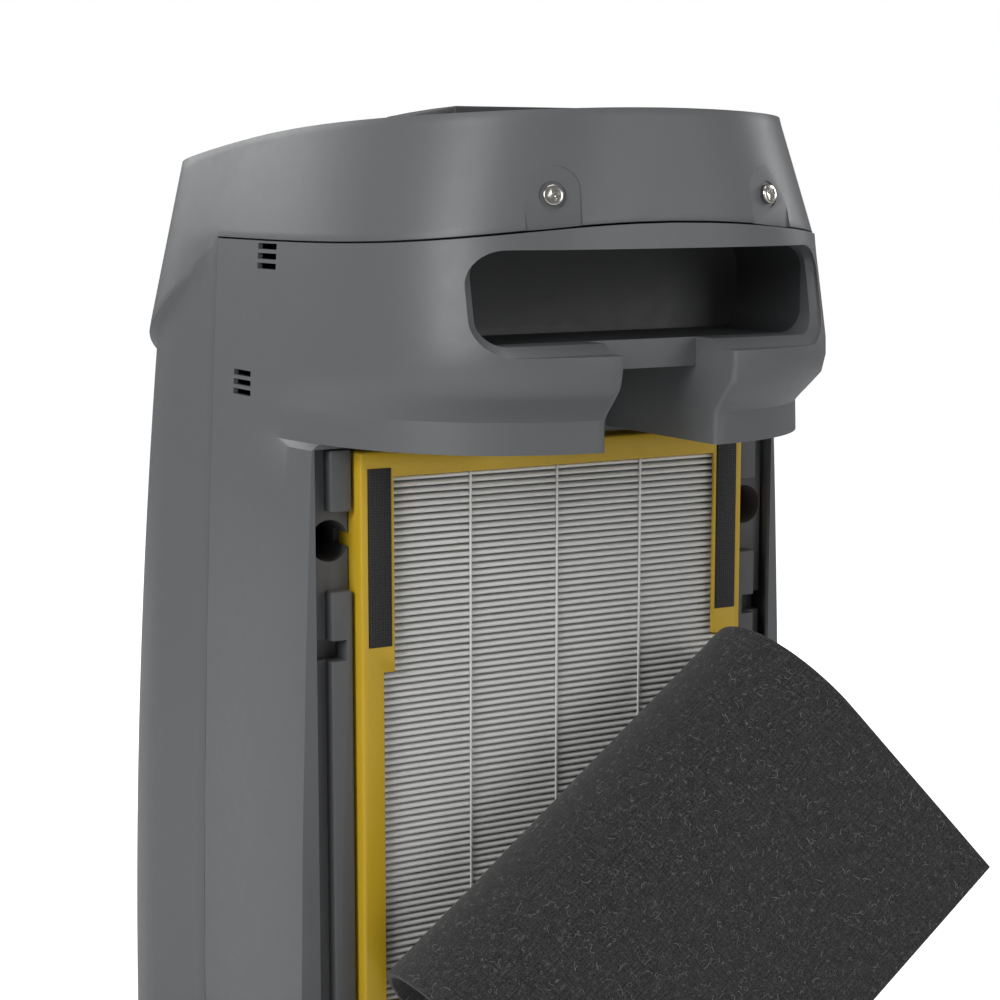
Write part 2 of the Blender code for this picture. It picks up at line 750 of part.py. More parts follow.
def make_filter():
    """Filter cartridge: frame, pleated media, glue strings and hook strips."""
    front = FILTER_BACK_Y - FILTER_DEPTH
    media_half = FILTER_HALF_WIDTH - FRAME_BORDER
    media_low = FILTER_BOTTOM + 10.0
    media_high = FILTER_TOP - 15.0
    strip_high = FILTER_TOP - 10.0
    strip_low = strip_high - STRIP_LENGTH
    strip_x = FILTER_HALF_WIDTH - 4.8 - STRIP_WIDTH
    frame = box(
        "filter_frame", (-FILTER_HALF_WIDTH, FILTER_HALF_WIDTH), (front, FILTER_BACK_Y),
        (FILTER_BOTTOM, FILTER_TOP), "filter_yellow")
    bevel(frame, 2.0, 2)
    inside = box(
        "inside", (-media_half - GAP, media_half + GAP),
        (front - 10, FILTER_BACK_Y - 2.2), (media_low - GAP, media_high + GAP))
    window_half = media_half + 1.0
    upper_half = strip_x - 2.0
    split = strip_low - 15.2
    window = box("window", (-window_half, window_half), (0, 400), (media_low, split))
    upper = box("upper", (-upper_half, upper_half), (0, 400), (split - 1.0, media_high))
    combine(frame, [inside, window, upper])
    pads = []
    for sign in (-1.0, 1.0):
        low, high = sorted((sign * (strip_x - GAP), sign * (strip_x + STRIP_WIDTH + GAP)))
        pads.append(box("pad", (low, high), (FILTER_BACK_Y - 1.2, 200), (strip_low - GAP, strip_high + GAP)))
    combine(frame, pads)
    box("filter_media", (-media_half, media_half),
        (front + 0.5, FILTER_BACK_Y - 4.7), (media_low, media_high), "pleat_white")
    string_x = media_half * 0.5034
    for i, x in enumerate((-string_x, 0.0, string_x)):
        box("glue_string_%d" % (i + 1), (x - 0.7, x + 0.7),
            (FILTER_BACK_Y - 4.4, FILTER_BACK_Y - 3.4),
            (media_low + 0.5, media_high - 0.5), "string_white")
    for name, low in (("hook_strip_right", -strip_x - STRIP_WIDTH), ("hook_strip_left", strip_x)):
        box(name, (low, low + STRIP_WIDTH), (FILTER_BACK_Y - 0.9, FILTER_BACK_Y + 0.7),
            (strip_low, strip_high), "hook_black")
    rim = FILTER_HALF_WIDTH - 1.0
    gasket = box(
        "filter_gasket", (-rim, rim), (front - 3.6, front - GAP), (FILTER_BOTTOM + 2, FILTER_TOP - 2),
        "foam_grey")
    hole = box("gasket_hole", (12.0 - rim, rim - 12.0), (0, 200), (FILTER_BOTTOM + 12, FILTER_TOP - 15))
    combine(gasket, [hole])


def make_carbon_sheet():
    """The carbon pre-filter: one sheet rolled over, its flap hanging free."""
    slant = math.radians(SHEET_SLANT_DEG)
    along = Vector((-math.cos(slant), 0.0, math.sin(slant)))
    across = Vector((math.sin(slant), 0.0, math.cos(slant)))
    outward = Vector((0.0, 1.0, 0.0))
    start = point(FILTER_HALF_WIDTH - 32.6, FILTER_BACK_Y + 3.4, FILTER_BOTTOM - 1.9)
    turn = math.radians(SHEET_TURN_DEG)
    length = SHEET_LENGTH * STRETCH_ROUND * MM
    roll = SHEET_ROLL_RADIUS * STRETCH_ROUND * MM
    half = SHEET_THICKNESS * MM / 2
    heel = SHEET_HEEL * STRETCH_ROUND * MM
    flap = SHEET_FLAP * STRETCH_ROUND * MM
    steps = 24
    centre_line = [(-heel, 0.0, 0.0)]
    for i in range(steps + 1):
        angle = turn * i / steps
        centre_line.append((roll * math.sin(angle), roll * (1.0 - math.cos(angle)), angle))
    end_u, end_w, _ = centre_line[-1]
    for i in range(1, 4):
        reach = flap * i / 3
        centre_line.append((end_u + reach * math.cos(turn), end_w + reach * math.sin(turn), turn))
    outline = []
    for side in (-1.0, 1.0):
        line = []
        for u, w, angle in centre_line:
            shift_u = side * half * math.sin(angle)
            shift_w = -side * half * math.cos(angle)
            line.append(start + across * (u + shift_u) + outward * (w + shift_w))
        outline.extend(line if side < 0 else reversed(line))
    prism_strip("carbon_sheet", outline, along * length, "carbon_felt")


def prism_strip(name, outline, direction, finish):
    """Push a thin bent outline sideways; its two ends are closed by quads."""
    bm = bmesh.new()
    start = [bm.verts.new(p) for p in outline]
    end = [bm.verts.new(p + direction) for p in outline]
    count = len(outline)
    for i in range(count):
        j = (i + 1) % count
        bm.faces.new((start[i], end[i], end[j], start[j]))
    for ring in (start, end):
        for i in range(count // 2 - 1):
            bm.faces.new((ring[i], ring[i + 1], ring[count - 2 - i], ring[count - 1 - i]))
    return add_object(name, bm, finish)


def make_blower():
    """Scroll housing, guard, impeller, shaft, motor and its plate."""
    outer = IMPELLER_RADIUS * STRETCH_ROUND / STRETCH_X + SCROLL_CLEARANCE
    back_y = 48.0
    front_y = -42.0
    round_mm = STRETCH_ROUND
    centre = point(0, (back_y + front_y) / 2, IMPELLER_Z)
    depth = (back_y - front_y) * STRETCH_Y
    drum_r = (IMPELLER_RADIUS + SCROLL_CLEARANCE) * round_mm
    housing = cylinder("blower_housing", centre, drum_r, depth, (0, 1, 0), "inner_plastic", 48)
    duct_top = IMPELLER_Z + DUCT_RISE - IMPELLER_RADIUS
    duct = box("duct", (0.0, outer * 0.96), (front_y, back_y), (IMPELLER_Z, duct_top))
    combine(housing, [duct], "UNION")
    chamber = cylinder(
        "chamber", centre, drum_r - WALL, depth - 2 * WALL, (0, 1, 0), None, 48)
    throat = box(
        "throat", (WALL, outer * 0.96 - WALL), (front_y + WALL, back_y - WALL), (IMPELLER_Z, 500))
    combine(chamber, [throat], "UNION")
    eye_r = IMPELLER_RADIUS - 20.0
    inlet = cylinder("inlet", point(0, back_y, IMPELLER_Z), (eye_r - 2.0) * round_mm, 20.0, (0, 1, 0), None, 48)
    motor_hole = cylinder(
        "motor_hole", point(0, front_y, IMPELLER_Z), 12.0 * round_mm, 20.0, (0, 1, 0))
    combine(housing, [chamber, inlet, motor_hole])
    ring_centre = point(0, back_y, IMPELLER_Z) + Vector((0, 3.4 * MM, 0))
    guard = cylinder(
        "inlet_guard", ring_centre, (eye_r + 12.0) * round_mm, 4.0, (0, 1, 0), "inner_plastic", 48)
    cuts = []
    for ring in range(3):
        outer_r = (eye_r - 25.0 * ring) * round_mm
        inner_r = (eye_r - 25.0 * ring - 20.0) * round_mm
        for arm in range(4):
            cuts.append(ring_sector(ring_centre, inner_r, outer_r, arm, 4))
    combine(guard, cuts)
    wheel_mid = 3.0
    wheel = cylinder(
        "impeller", point(0, wheel_mid, IMPELLER_Z), IMPELLER_RADIUS * round_mm,
        IMPELLER_WIDTH, (0, 1, 0), "inner_plastic", 72)
    eye_centre = point(0, wheel_mid, IMPELLER_Z) + Vector((0, 3.0 * MM, 0))
    eye = cylinder("eye", eye_centre, eye_r * round_mm, IMPELLER_WIDTH, (0, 1, 0), None, 72)
    combine(wheel, [eye])
    hub = cylinder("hub", point(0, wheel_mid, IMPELLER_Z) + Vector((0, -8.0 * MM, 0)),
                   16.0 * round_mm, IMPELLER_WIDTH - 16.0, (0, 1, 0))
    combine(wheel, [hub], "UNION")
    gaps = []
    for i in range(IMPELLER_BLADES):
        gaps.append(blade_gap(wheel_mid, i, round_mm))
    bore = cylinder("bore", point(0, wheel_mid, IMPELLER_Z), SHAFT_RADIUS + 0.15, 120.0, (0, 1, 0), None, 24)
    combine(wheel, gaps + [bore])
    move_origin(wheel, point(0, wheel_mid, IMPELLER_Z))
    plate = box("motor_mount", (-70, 70), (-50.0, -45.0), (IMPELLER_Z - 70, IMPELLER_Z + 70), "steel", 1.0)
    plate_hole = cylinder("plate_hole", point(0, -47.5, IMPELLER_Z), 12.0 * round_mm, 30.0, (0, 1, 0))
    combine(plate, [plate_hole])
    motor_centre = point(0, -50.6, IMPELLER_Z) - Vector((0, MOTOR_LENGTH / 2 * MM, 0))
    motor = cylinder(
        "fan_motor", motor_centre, MOTOR_RADIUS * round_mm, MOTOR_LENGTH, (0, 1, 0), "motor_shell", 40)
    bevel(motor, 3.0, 2)
    shaft_bore = cylinder(
        "shaft_bore", point(0, -50.6, IMPELLER_Z), SHAFT_RADIUS + 0.5, 60.0, (0, 1, 0), None, 24)
    combine(motor, [shaft_bore])
    shaft_back = point(0, wheel_mid, IMPELLER_Z) + Vector((0, 14.0 * MM, 0))
    shaft_front = point(0, -50.6, IMPELLER_Z) - Vector((0, MOTOR_LENGTH / 2 * MM, 0))
    length = (shaft_back.y - shaft_front.y) / MM
    shaft = cylinder("fan_shaft", (shaft_back + shaft_front) / 2, SHAFT_RADIUS, length, (0, 1, 0), "steel", 24)
    move_origin(shaft, point(0, wheel_mid, IMPELLER_Z))


def ring_sector(centre, inner_r, outer_r, arm, arms):
    """A curved cutter between two radii, leaving a spoke at each end."""
    bm = bmesh.new()
    steps = 8
    spoke = 2.5
    rows = []
    for i in range(steps + 1):
        row = []
        for radius in (inner_r, outer_r):
            margin = spoke / radius
            low = 2 * math.pi * arm / arms + margin
            high = 2 * math.pi * (arm + 1) / arms - margin
            angle = low + (high - low) * i / steps
            for side in (-8.0, 8.0):
                offset = Vector((radius * math.cos(angle), side, radius * math.sin(angle)))
                row.append(bm.verts.new(centre + offset * MM))
        rows.append(row)
    for first, second in zip(rows, rows[1:]):
        for a, b in ((0, 1), (1, 3), (3, 2), (2, 0)):
            bm.faces.new((first[a], first[b], second[b], second[a]))
    for row in (rows[0], rows[-1]):
        bm.faces.new((row[0], row[1], row[3], row[2]))
    return add_object("sector", bm)


def blade_gap(middle, index, scale):
    """One slanted gap between two blades of the wheel."""
    angle = 2 * math.pi * index / IMPELLER_BLADES
    radius = (IMPELLER_RADIUS - 9.0) * scale
    pitch = 2 * math.pi * radius / IMPELLER_BLADES
    size = Vector((34.0 * scale, IMPELLER_WIDTH - 10.0, pitch - 4.5)) * MM
    gap = box_between("gap", -size / 2, size / 2)
    turn = Matrix.Rotation(-angle, 4, "Y") @ Matrix.Translation((radius * MM, 0, 0))
    lean = Matrix.Rotation(math.radians(25.0), 4, "Y")
    place = Matrix.Translation(point(0, middle, IMPELLER_Z))
    gap.data.transform(place @ turn @ lean)
    return gap


def make_electrics():
    """Boards, sensors, ioniser, mains inlet and cover switch."""
    box("power_board", (-80, 80), (-162.0, -160.0), (40, 150), "board_green")
    box("dust_sensor", (118, 142), (32, 62), (520, 550), "inner_plastic", 1.0)
    box("odour_sensor", (128, 150), (4, 34), (446, 472), "inner_plastic", 1.0)
    box("ioniser", (-118, -88), (-10, 30), (462, 480), "inner_plastic", 1.0)
    inlet = box(
        "power_inlet", (-172.6, -140.0), socket_span(SOCKET_Y, SOCKET_WIDTH, 0.4),
        socket_span(SOCKET_Z, SOCKET_HEIGHT, 0.4), "gloss_black")
    socket = box(
        "socket", (-190, -152), socket_span(SOCKET_Y, SOCKET_WIDTH, 4.0),
        socket_span(SOCKET_Z, SOCKET_HEIGHT, 5.0))
    combine(inlet, [socket])
    pins = []
    for y in (SOCKET_Y - 5.0, SOCKET_Y + 5.0):
        pins.append(cylinder("pin", point(-158.0, y, SOCKET_Z), 1.2, 14.0 * STRETCH_X, (1, 0, 0), None, 12))
    combine(inlet, pins, "UNION")
    switch = box("cover_switch", (48, 72), (30, 58), (70, 86), "gloss_black", 0.8)
    hole = cylinder("switch_hole", point(60, 58, 77.5), 3.0, 40.0, (0, 1, 0), None, 20)
    combine(switch, [hole])
    plunger = cylinder("switch_plunger", point(60, 75.0, 77.5), 2.5, 50.0 * STRETCH_Y, (0, 1, 0), "button_grey", 20)
    move_origin(plunger, point(60, 75.0, 77.5))


def build():
    """Make every piece in order."""
    clear_scene()
    make_front_shell()
    make_rear_shell()
    make_handle_cup()
    make_base()
    make_top()
    make_screws()
    make_filter_bay()
    make_filter()
    make_carbon_sheet()
    make_blower()
    make_electrics()


build()
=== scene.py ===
"""Tower air purifier with its rear cover off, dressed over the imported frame.

The housing, the grip, the filter cartridge and the peeled carbon felt get
finer shapes here; every other CAD node keeps its shape and gets its finish.
Metres, +Z up, the front faces -Y.
"""

import json
import logging
import math
import random
from dataclasses import dataclass, field
from enum import Enum
from typing import Optional, Sequence

import bmesh
import bpy
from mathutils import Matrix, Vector, noise


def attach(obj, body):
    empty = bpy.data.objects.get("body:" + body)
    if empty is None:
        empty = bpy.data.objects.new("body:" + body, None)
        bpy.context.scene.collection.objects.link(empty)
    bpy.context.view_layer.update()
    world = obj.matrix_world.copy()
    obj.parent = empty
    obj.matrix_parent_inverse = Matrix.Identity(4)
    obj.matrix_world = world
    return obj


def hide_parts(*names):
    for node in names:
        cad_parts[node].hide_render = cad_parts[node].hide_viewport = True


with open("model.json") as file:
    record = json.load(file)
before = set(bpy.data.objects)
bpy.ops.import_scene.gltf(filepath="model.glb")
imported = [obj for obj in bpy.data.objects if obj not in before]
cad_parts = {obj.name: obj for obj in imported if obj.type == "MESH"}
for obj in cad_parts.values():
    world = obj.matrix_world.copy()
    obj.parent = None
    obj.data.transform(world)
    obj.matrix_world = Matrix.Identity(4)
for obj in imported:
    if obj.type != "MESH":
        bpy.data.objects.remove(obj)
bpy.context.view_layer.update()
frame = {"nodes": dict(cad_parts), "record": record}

MM = 0.001
PER_METRE = 1000.0
WEAR_MM = 9.0
WHITE = (1.0, 1.0, 1.0, 1.0)
LOG = logging.getLogger("purifier")

Outline = list[tuple[float, float]]


# ------------------------------------------------------------------ finishes

class Surface(Enum):
    """How a surface was made, which picks the pattern it is given."""

    MOULDED = "moulded"
    POLISHED = "polished"
    PAPER = "paper"
    FELT = "felt"
    HOOKS = "hooks"
    METAL = "metal"
    FOAM = "foam"


def linear(colour: str) -> tuple[float, float, float, float]:
    """Turn an sRGB hex colour to linear values.

    Args:
        colour: Six hex digits after a hash sign.

    Returns:
        Red, green, blue and alpha for a shader socket.
    """
    parts = [int(colour[i:i + 2], 16) / 255.0 for i in (1, 3, 5)]
    red, green, blue = (
        c / 12.92 if c <= 0.04045 else ((c + 0.055) / 1.055) ** 2.4 for c in parts)
    return red, green, blue, 1.0


def add_node(tree: bpy.types.NodeTree, kind: str, links: Optional[dict] = None,
             **settings: object) -> bpy.types.Node:
    """Add one shader node with its settings and incoming links.

    Args:
        tree: The material's node tree.
        kind: Blender's node type name.
        links: Input name or index to the output socket that feeds it.
        **settings: Attributes, or inputs written as in_Name, to set.

    Returns:
        The new node.
    """
    node = tree.nodes.new(kind)
    for key, value in settings.items():
        if key.startswith("in_"):
            node.inputs[key[3:].replace("_", " ")].default_value = value
        else:
            setattr(node, key, value)
    for key, socket in (links or {}).items():
        tree.links.new(socket, node.inputs[key])
    return node


@dataclass(frozen=True)
class Finish:
    """A material: what it is, how it was made and how large its marks are.

    Attributes:
        name: A maker's name for the finish.
        surface: How it was made.
        tone: Main colour, sRGB hex.
        shade: The darker colour that mottles it, sRGB hex.
        roughness: Typical roughness of the real finish.
        ior: Index of refraction; metals keep 1.5.
        grain_mm: Size of the fine relief.
        relief: Depth of that relief as a share of the bump node's full height.
        cloud_mm: Size of the broad colour variation.
    """

    name: str
    surface: Surface
    tone: str
    shade: str
    roughness: float
    ior: float = 1.5
    grain_mm: float = 0.7
    relief: float = 0.05
    cloud_mm: float = 70.0

    def material(self) -> bpy.types.Material:
        """Make the material, or find the one made before.

        Returns:
            The material.
        """
        made = bpy.data.materials.get(self.name)
        if made is not None:
            return made
        made = bpy.data.materials.new(self.name)
        made.use_nodes = True
        tree = made.node_tree
        shader = tree.nodes["Principled BSDF"]
        shader.inputs["Roughness"].default_value = self.roughness
        shader.inputs["IOR"].default_value = self.ior
        if self.surface is Surface.METAL:
            shader.inputs["Metallic"].default_value = 1.0
        place = add_node(tree, "ShaderNodeTexCoord").outputs["Object"]
        if self.surface is Surface.FELT:
            self.weave_felt(tree, shader)
        elif self.surface is Surface.HOOKS:
            self.raise_hooks(tree, shader, place)
        else:
            self.mottle(tree, shader, place)
        return made

    def mottle(self, tree: bpy.types.NodeTree, shader: bpy.types.Node,
               place: bpy.types.NodeSocket) -> None:
        """Cloud the colour, vary the gloss and add the fine relief.

        Args:
            tree: The material's tree.
            shader: Its principled shader.
            place: Object coordinates.
        """
        cloud = add_node(tree, "ShaderNodeTexNoise", {"Vector": place},
                         in_Scale=PER_METRE / self.cloud_mm, in_Detail=5.0,
                         in_Roughness=0.55)
        blend = add_node(tree, "ShaderNodeMix", {"Factor": cloud.outputs["Fac"]},
                         data_type="RGBA")
        blend.inputs[6].default_value = linear(self.shade)
        blend.inputs[7].default_value = linear(self.tone)
        tree.links.new(blend.outputs[2], shader.inputs["Base Color"])
        wear = add_node(tree, "ShaderNodeTexNoise", {"Vector": place},
                        in_Scale=PER_METRE / WEAR_MM, in_Detail=6.0, in_Roughness=0.6)
        spread = 0.02 if self.surface is Surface.POLISHED else 0.035
        gloss = add_node(tree, "ShaderNodeMapRange", {"Value": wear.outputs["Fac"]})
        gloss.inputs["From Min"].default_value = 0.25
        gloss.inputs["From Max"].default_value = 0.75
        gloss.inputs["To Min"].default_value = max(0.03, self.roughness - spread)
        gloss.inputs["To Max"].default_value = min(1.0, self.roughness + spread)
        tree.links.new(gloss.outputs["Result"], shader.inputs["Roughness"])
        grain = add_node(tree, "ShaderNodeTexNoise", {"Vector": place},
                         in_Scale=PER_METRE / self.grain_mm, in_Detail=2.0)
        bump = add_node(tree, "ShaderNodeBump", {"Height": grain.outputs["Fac"]},
                        in_Strength=self.relief, in_Distance=0.0004)
        tree.links.new(bump.outputs["Normal"], shader.inputs["Normal"])

    def raise_hooks(self, tree: bpy.types.NodeTree, shader: bpy.types.Node,
                    place: bpy.types.NodeSocket) -> None:
        """Rows of tiny nylon hooks, drawn 1.6 mm apart: the real 0.8 mm would not show.

        Args:
            tree: The material's tree.
            shader: Its principled shader.
            place: Object coordinates.
        """
        dots = add_node(tree, "ShaderNodeTexVoronoi", {"Vector": place},
                        in_Scale=PER_METRE / self.grain_mm, in_Randomness=0.25)
        ramp = add_node(tree, "ShaderNodeValToRGB", {"Fac": dots.outputs["Distance"]})
        ramp.color_ramp.elements[0].position = 0.15
        ramp.color_ramp.elements[0].color = linear(self.tone)
        ramp.color_ramp.elements[1].position = 0.6
        ramp.color_ramp.elements[1].color = linear(self.shade)
        tree.links.new(ramp.outputs["Color"], shader.inputs["Base Color"])
        bump = add_node(tree, "ShaderNodeBump", {"Height": dots.outputs["Distance"]},
                        in_Strength=self.relief, in_Distance=0.0006, invert=True)
        tree.links.new(bump.outputs["Normal"], shader.inputs["Normal"])

    def weave_felt(self, tree: bpy.types.NodeTree, shader: bpy.types.Node) -> None:
        """Needled fibre web: crosswise streaks, dark specks and paler loose fibres.

        Args:
            tree: The material's tree.
            shader: Its principled shader.
        """
        flat = add_node(tree, "ShaderNodeUVMap", uv_map="cut").outputs["UV"]
        streaks = []
        for stretch in ((900.0, 90.0, 1.0), (110.0, 800.0, 1.0)):
            turned = add_node(tree, "ShaderNodeMapping", {"Vector": flat})
            turned.inputs["Scale"].default_value = stretch
            streaks.append(add_node(tree, "ShaderNodeTexNoise",
                                    {"Vector": turned.outputs["Vector"]},
                                    in_Scale=1.0, in_Detail=3.0).outputs["Fac"])
        crossed = add_node(tree, "ShaderNodeMath", {0: streaks[0], 1: streaks[1]},
                           operation="MULTIPLY")
        specks = add_node(tree, "ShaderNodeTexNoise", {"Vector": flat},
                          in_Scale=PER_METRE / self.grain_mm, in_Detail=3.0)
        mixed = add_node(tree, "ShaderNodeMath",
                         {0: crossed.outputs[0], 1: specks.outputs["Fac"]}, operation="ADD")
        tone = add_node(tree, "ShaderNodeValToRGB", {"Fac": mixed.outputs[0]})
        tone.color_ramp.elements[0].position = 0.58
        tone.color_ramp.elements[0].color = linear(self.shade)
        tone.color_ramp.elements[1].position = 0.98
        tone.color_ramp.elements[1].color = linear(self.tone)
        warp = add_node(tree, "ShaderNodeTexNoise", {"Vector": flat},
                        in_Scale=160.0, in_Detail=2.0)
        bent = add_node(tree, "ShaderNodeVectorMath", {0: warp.outputs["Color"]},
                        operation="SCALE", in_Scale=0.012)
        moved = add_node(tree, "ShaderNodeVectorMath", {0: flat, 1: bent.outputs["Vector"]},
                         operation="ADD")
        threads = add_node(tree, "ShaderNodeTexVoronoi", {"Vector": moved.outputs["Vector"]},
                           feature="DISTANCE_TO_EDGE", in_Scale=260.0)
        thin = add_node(tree, "ShaderNodeMath", {0: threads.outputs["Distance"]},
                        operation="LESS_THAN")
        thin.inputs[1].default_value = 0.035
        broken = add_node(tree, "ShaderNodeTexNoise", {"Vector": flat},
                          in_Scale=330.0, in_Detail=1.0)
        some = add_node(tree, "ShaderNodeMath", {0: broken.outputs["Fac"]},
                        operation="GREATER_THAN")
        some.inputs[1].default_value = 0.60
        shown = add_node(tree, "ShaderNodeMath", {0: thin.outputs[0], 1: some.outputs[0]},
                         operation="MULTIPLY")
        fibre = add_node(tree, "ShaderNodeMix", {"Factor": shown.outputs[0]}, data_type="RGBA")
        tree.links.new(tone.outputs["Color"], fibre.inputs[6])
        fibre.inputs[7].default_value = linear("#5a5a5b")
        tree.links.new(fibre.outputs[2], shader.inputs["Base Color"])
        shader.inputs["Sheen Weight"].default_value = 0.12
        shader.inputs["Sheen Roughness"].default_value = 0.6
        bump = add_node(tree, "ShaderNodeBump", {"Height": mixed.outputs[0]},
                        in_Strength=self.relief, in_Distance=0.0010)
        tree.links.new(bump.outputs["Normal"], shader.inputs["Normal"])


# ABS housing moulded in a fine spark-eroded tool: satin, broad soft highlights.
SATIN_ABS = Finish("satin_abs_moulding", Surface.MOULDED, "#626466", "#5e6062",
                   0.42, 1.53, 0.8, 0.06, 90.0)
# The same plastic on the filter bay, a little duller.
DULL_ABS = Finish("dull_abs_moulding", Surface.MOULDED, "#58595b", "#525355",
                  0.55, 1.53, 0.8, 0.07, 60.0)
# Dark ribs and liners: polypropylene, waxy and dark.
DARK_PP = Finish("dark_polypropylene", Surface.MOULDED, "#3c3d3f", "#353638",
                 0.50, 1.49, 0.9, 0.08, 50.0)
# Panel and grille: piano-black polished acrylic, sharp reflections.
PIANO_BLACK = Finish("piano_black_acrylic", Surface.POLISHED, "#0b0b0c", "#09090a",
                     0.09, 1.49, 2.0, 0.01, 60.0)
# Filter frame: self-coloured yellow ABS with a low sheen.
YELLOW_ABS = Finish("yellow_abs_frame", Surface.MOULDED, "#d0ab26", "#c3a01f",
                    0.42, 1.53, 0.8, 0.05, 60.0)
# Glass-fibre paper folded to pleats: matt white with faint fibre clouds.
PLEAT_PAPER = Finish("glass_fibre_paper", Surface.PAPER, "#e9e9e7", "#d8d8d6",
                     0.85, 1.45, 0.6, 0.25, 5.0)
# Hot-melt beads that keep the pleats apart: smooth, slightly milky.
HOT_MELT = Finish("hot_melt_bead", Surface.MOULDED, "#e3e3e0", "#d6d6d2",
                  0.40, 1.48, 1.5, 0.15, 6.0)
# Nylon hook tape: black, matt, dotted with hooks.
HOOK_TAPE = Finish("nylon_hook_tape", Surface.HOOKS, "#343435", "#161617",
                   0.75, 1.53, 1.6, 0.9, 10.0)
# Needle-punched fibre web with activated carbon: charcoal, no gloss.
CARBON_FELT = Finish("needled_carbon_felt", Surface.FELT, "#3d3d3e", "#0e0e0f",
                     0.95, 1.45, 1.1, 0.75, 10.0)
# Loose polyester fibres standing off the web.
LOOSE_FIBRE = Finish("loose_polyester_fibre", Surface.MOULDED, "#8c8c8d", "#5c5c5d",
                     0.7, 1.5, 1.0, 0.0, 12.0)
# Open-cell sealing foam: matt grey with fine pores.
SEAL_FOAM = Finish("open_cell_foam", Surface.FOAM, "#7c7c7c", "#5e5e5e",
                   0.95, 1.45, 1.2, 0.8, 4.0)
# Nickel-plated steel screws: bright, with soft handling marks.
NICKEL = Finish("nickel_plated_steel", Surface.METAL, "#d6d3cc", "#c4c1ba",
                0.20, 1.5, 0.5, 0.03, 3.0)
# Zinc-plated and bare steel inside.
STEEL = Finish("rolled_steel", Surface.METAL, "#b9babc", "#a7a8aa", 0.34, 1.5, 0.6, 0.05, 20.0)
# Die-cast motor shell: grey, grainy.
CAST_SHELL = Finish("die_cast_aluminium", Surface.METAL, "#9b9ca0", "#8a8b8f",
                    0.42, 1.5, 1.0, 0.15, 14.0)
# Solder-masked circuit board: green, semi-gloss.
SOLDER_MASK = Finish("green_solder_mask", Surface.MOULDED, "#2b6a42", "#24583a",
                     0.38, 1.55, 1.6, 0.15, 5.0)
# Moulded rubber pads: black, matt.
RUBBER = Finish("moulded_rubber", Surface.MOULDED, "#262626", "#1d1d1d",
                0.80, 1.52, 1.0, 0.25, 8.0)
# Button caps: mid grey ABS, satin.
BUTTON_ABS = Finish("grey_abs_button", Surface.MOULDED, "#7d7f82", "#737578",
                    0.38, 1.53, 0.7, 0.05, 6.0)

SLOT_FINISH = {
    "body_plastic": SATIN_ABS, "inner_plastic": DARK_PP, "gloss_black": PIANO_BLACK,
    "filter_yellow": YELLOW_ABS, "pleat_white": PLEAT_PAPER, "string_white": HOT_MELT,
    "hook_black": HOOK_TAPE, "carbon_felt": CARBON_FELT, "foam_grey": SEAL_FOAM,
    "nickel": NICKEL, "steel": STEEL, "motor_shell": CAST_SHELL,
    "board_green": SOLDER_MASK, "rubber": RUBBER, "button_grey": BUTTON_ABS,
}


# ------------------------------------------------------------- bench helpers

def point(x: float, y: float, z: float) -> Vector:
    """A place in millimetres, as metres."""
    return Vector((x, y, z)) * MM


def deselect() -> None:
    """Leave edit mode and deselect every object."""
    if bpy.context.object is not None and bpy.context.object.mode != "OBJECT":
        bpy.ops.object.mode_set(mode="OBJECT")
    bpy.ops.object.select_all(action="DESELECT")


def take(obj: bpy.types.Object) -> None:
    """Make one object the only selected and active one.

    Args:
        obj: The object.
    """
    deselect()
    obj.select_set(True)
    bpy.context.view_layer.objects.active = obj


def apply_modifier(obj: bpy.types.Object, kind: str, **settings: object) -> None:
    """Add one modifier and make it permanent.

    Args:
        obj: The piece.
        kind: Blender's modifier type.
        **settings: Attributes of the modifier.
    """
    take(obj)
    mod = obj.modifiers.new(kind.title(), kind)
    for key, value in settings.items():
        setattr(mod, key, value)
    bpy.ops.object.modifier_apply(modifier=mod.name)


def cut(obj: bpy.types.Object, tools: Sequence[bpy.types.Object]) -> None:
    """Cut tool bodies out of a piece; the tools are used up.

    Args:
        obj: The piece that is cut.
        tools: The bodies it is cut with.
    """
    for tool in tools:
        apply_modifier(obj, "BOOLEAN", operation="DIFFERENCE", solver="EXACT", object=tool)
        bpy.data.objects.remove(tool, do_unlink=True)


def soften(obj: bpy.types.Object, angle: float) -> None:
    """Shade smooth except over edges sharper than an angle in degrees."""
    take(obj)
    bpy.ops.object.shade_smooth_by_angle(angle=math.radians(angle))


def clean(obj: bpy.types.Object, flat: float = 0.0) -> None:
    """Merge doubled points and, if asked, dissolve flat joins.

    Args:
        obj: The piece.
        flat: Angle in degrees under which neighbouring faces become one.
    """
    take(obj)
    bpy.ops.object.mode_set(mode="EDIT")
    bpy.ops.mesh.select_all(action="SELECT")
    bpy.ops.mesh.remove_doubles(threshold=0.00001)
    if flat:
        bpy.ops.mesh.dissolve_limited(angle_limit=math.radians(flat))
    bpy.ops.object.mode_set(mode="OBJECT")


def new_object(name: str, data: bpy.types.ID) -> bpy.types.Object:
    """Put a mesh, a lamp or a camera into the scene.

    Args:
        name: The object's name.
        data: What it holds.

    Returns:
        The object.
    """
    obj = bpy.data.objects.new(name, data)
    bpy.context.scene.collection.objects.link(obj)
    return obj


def from_bmesh(name: str, bm: bmesh.types.BMesh) -> bpy.types.Object:
    """Turn a bmesh into a linked object with outward faces.

    Args:
        name: The object's name.
        bm: Its surface, which is freed.

    Returns:
        The object.
    """
    bmesh.ops.recalc_face_normals(bm, faces=bm.faces)
    mesh = bpy.data.meshes.new(name)
    bm.to_mesh(mesh)
    bm.free()
    return new_object(name, mesh)


class Cap(Enum):
    """How a lofted body's ends are closed."""

    STRIPS = "strips"
    FLAT = "flat"


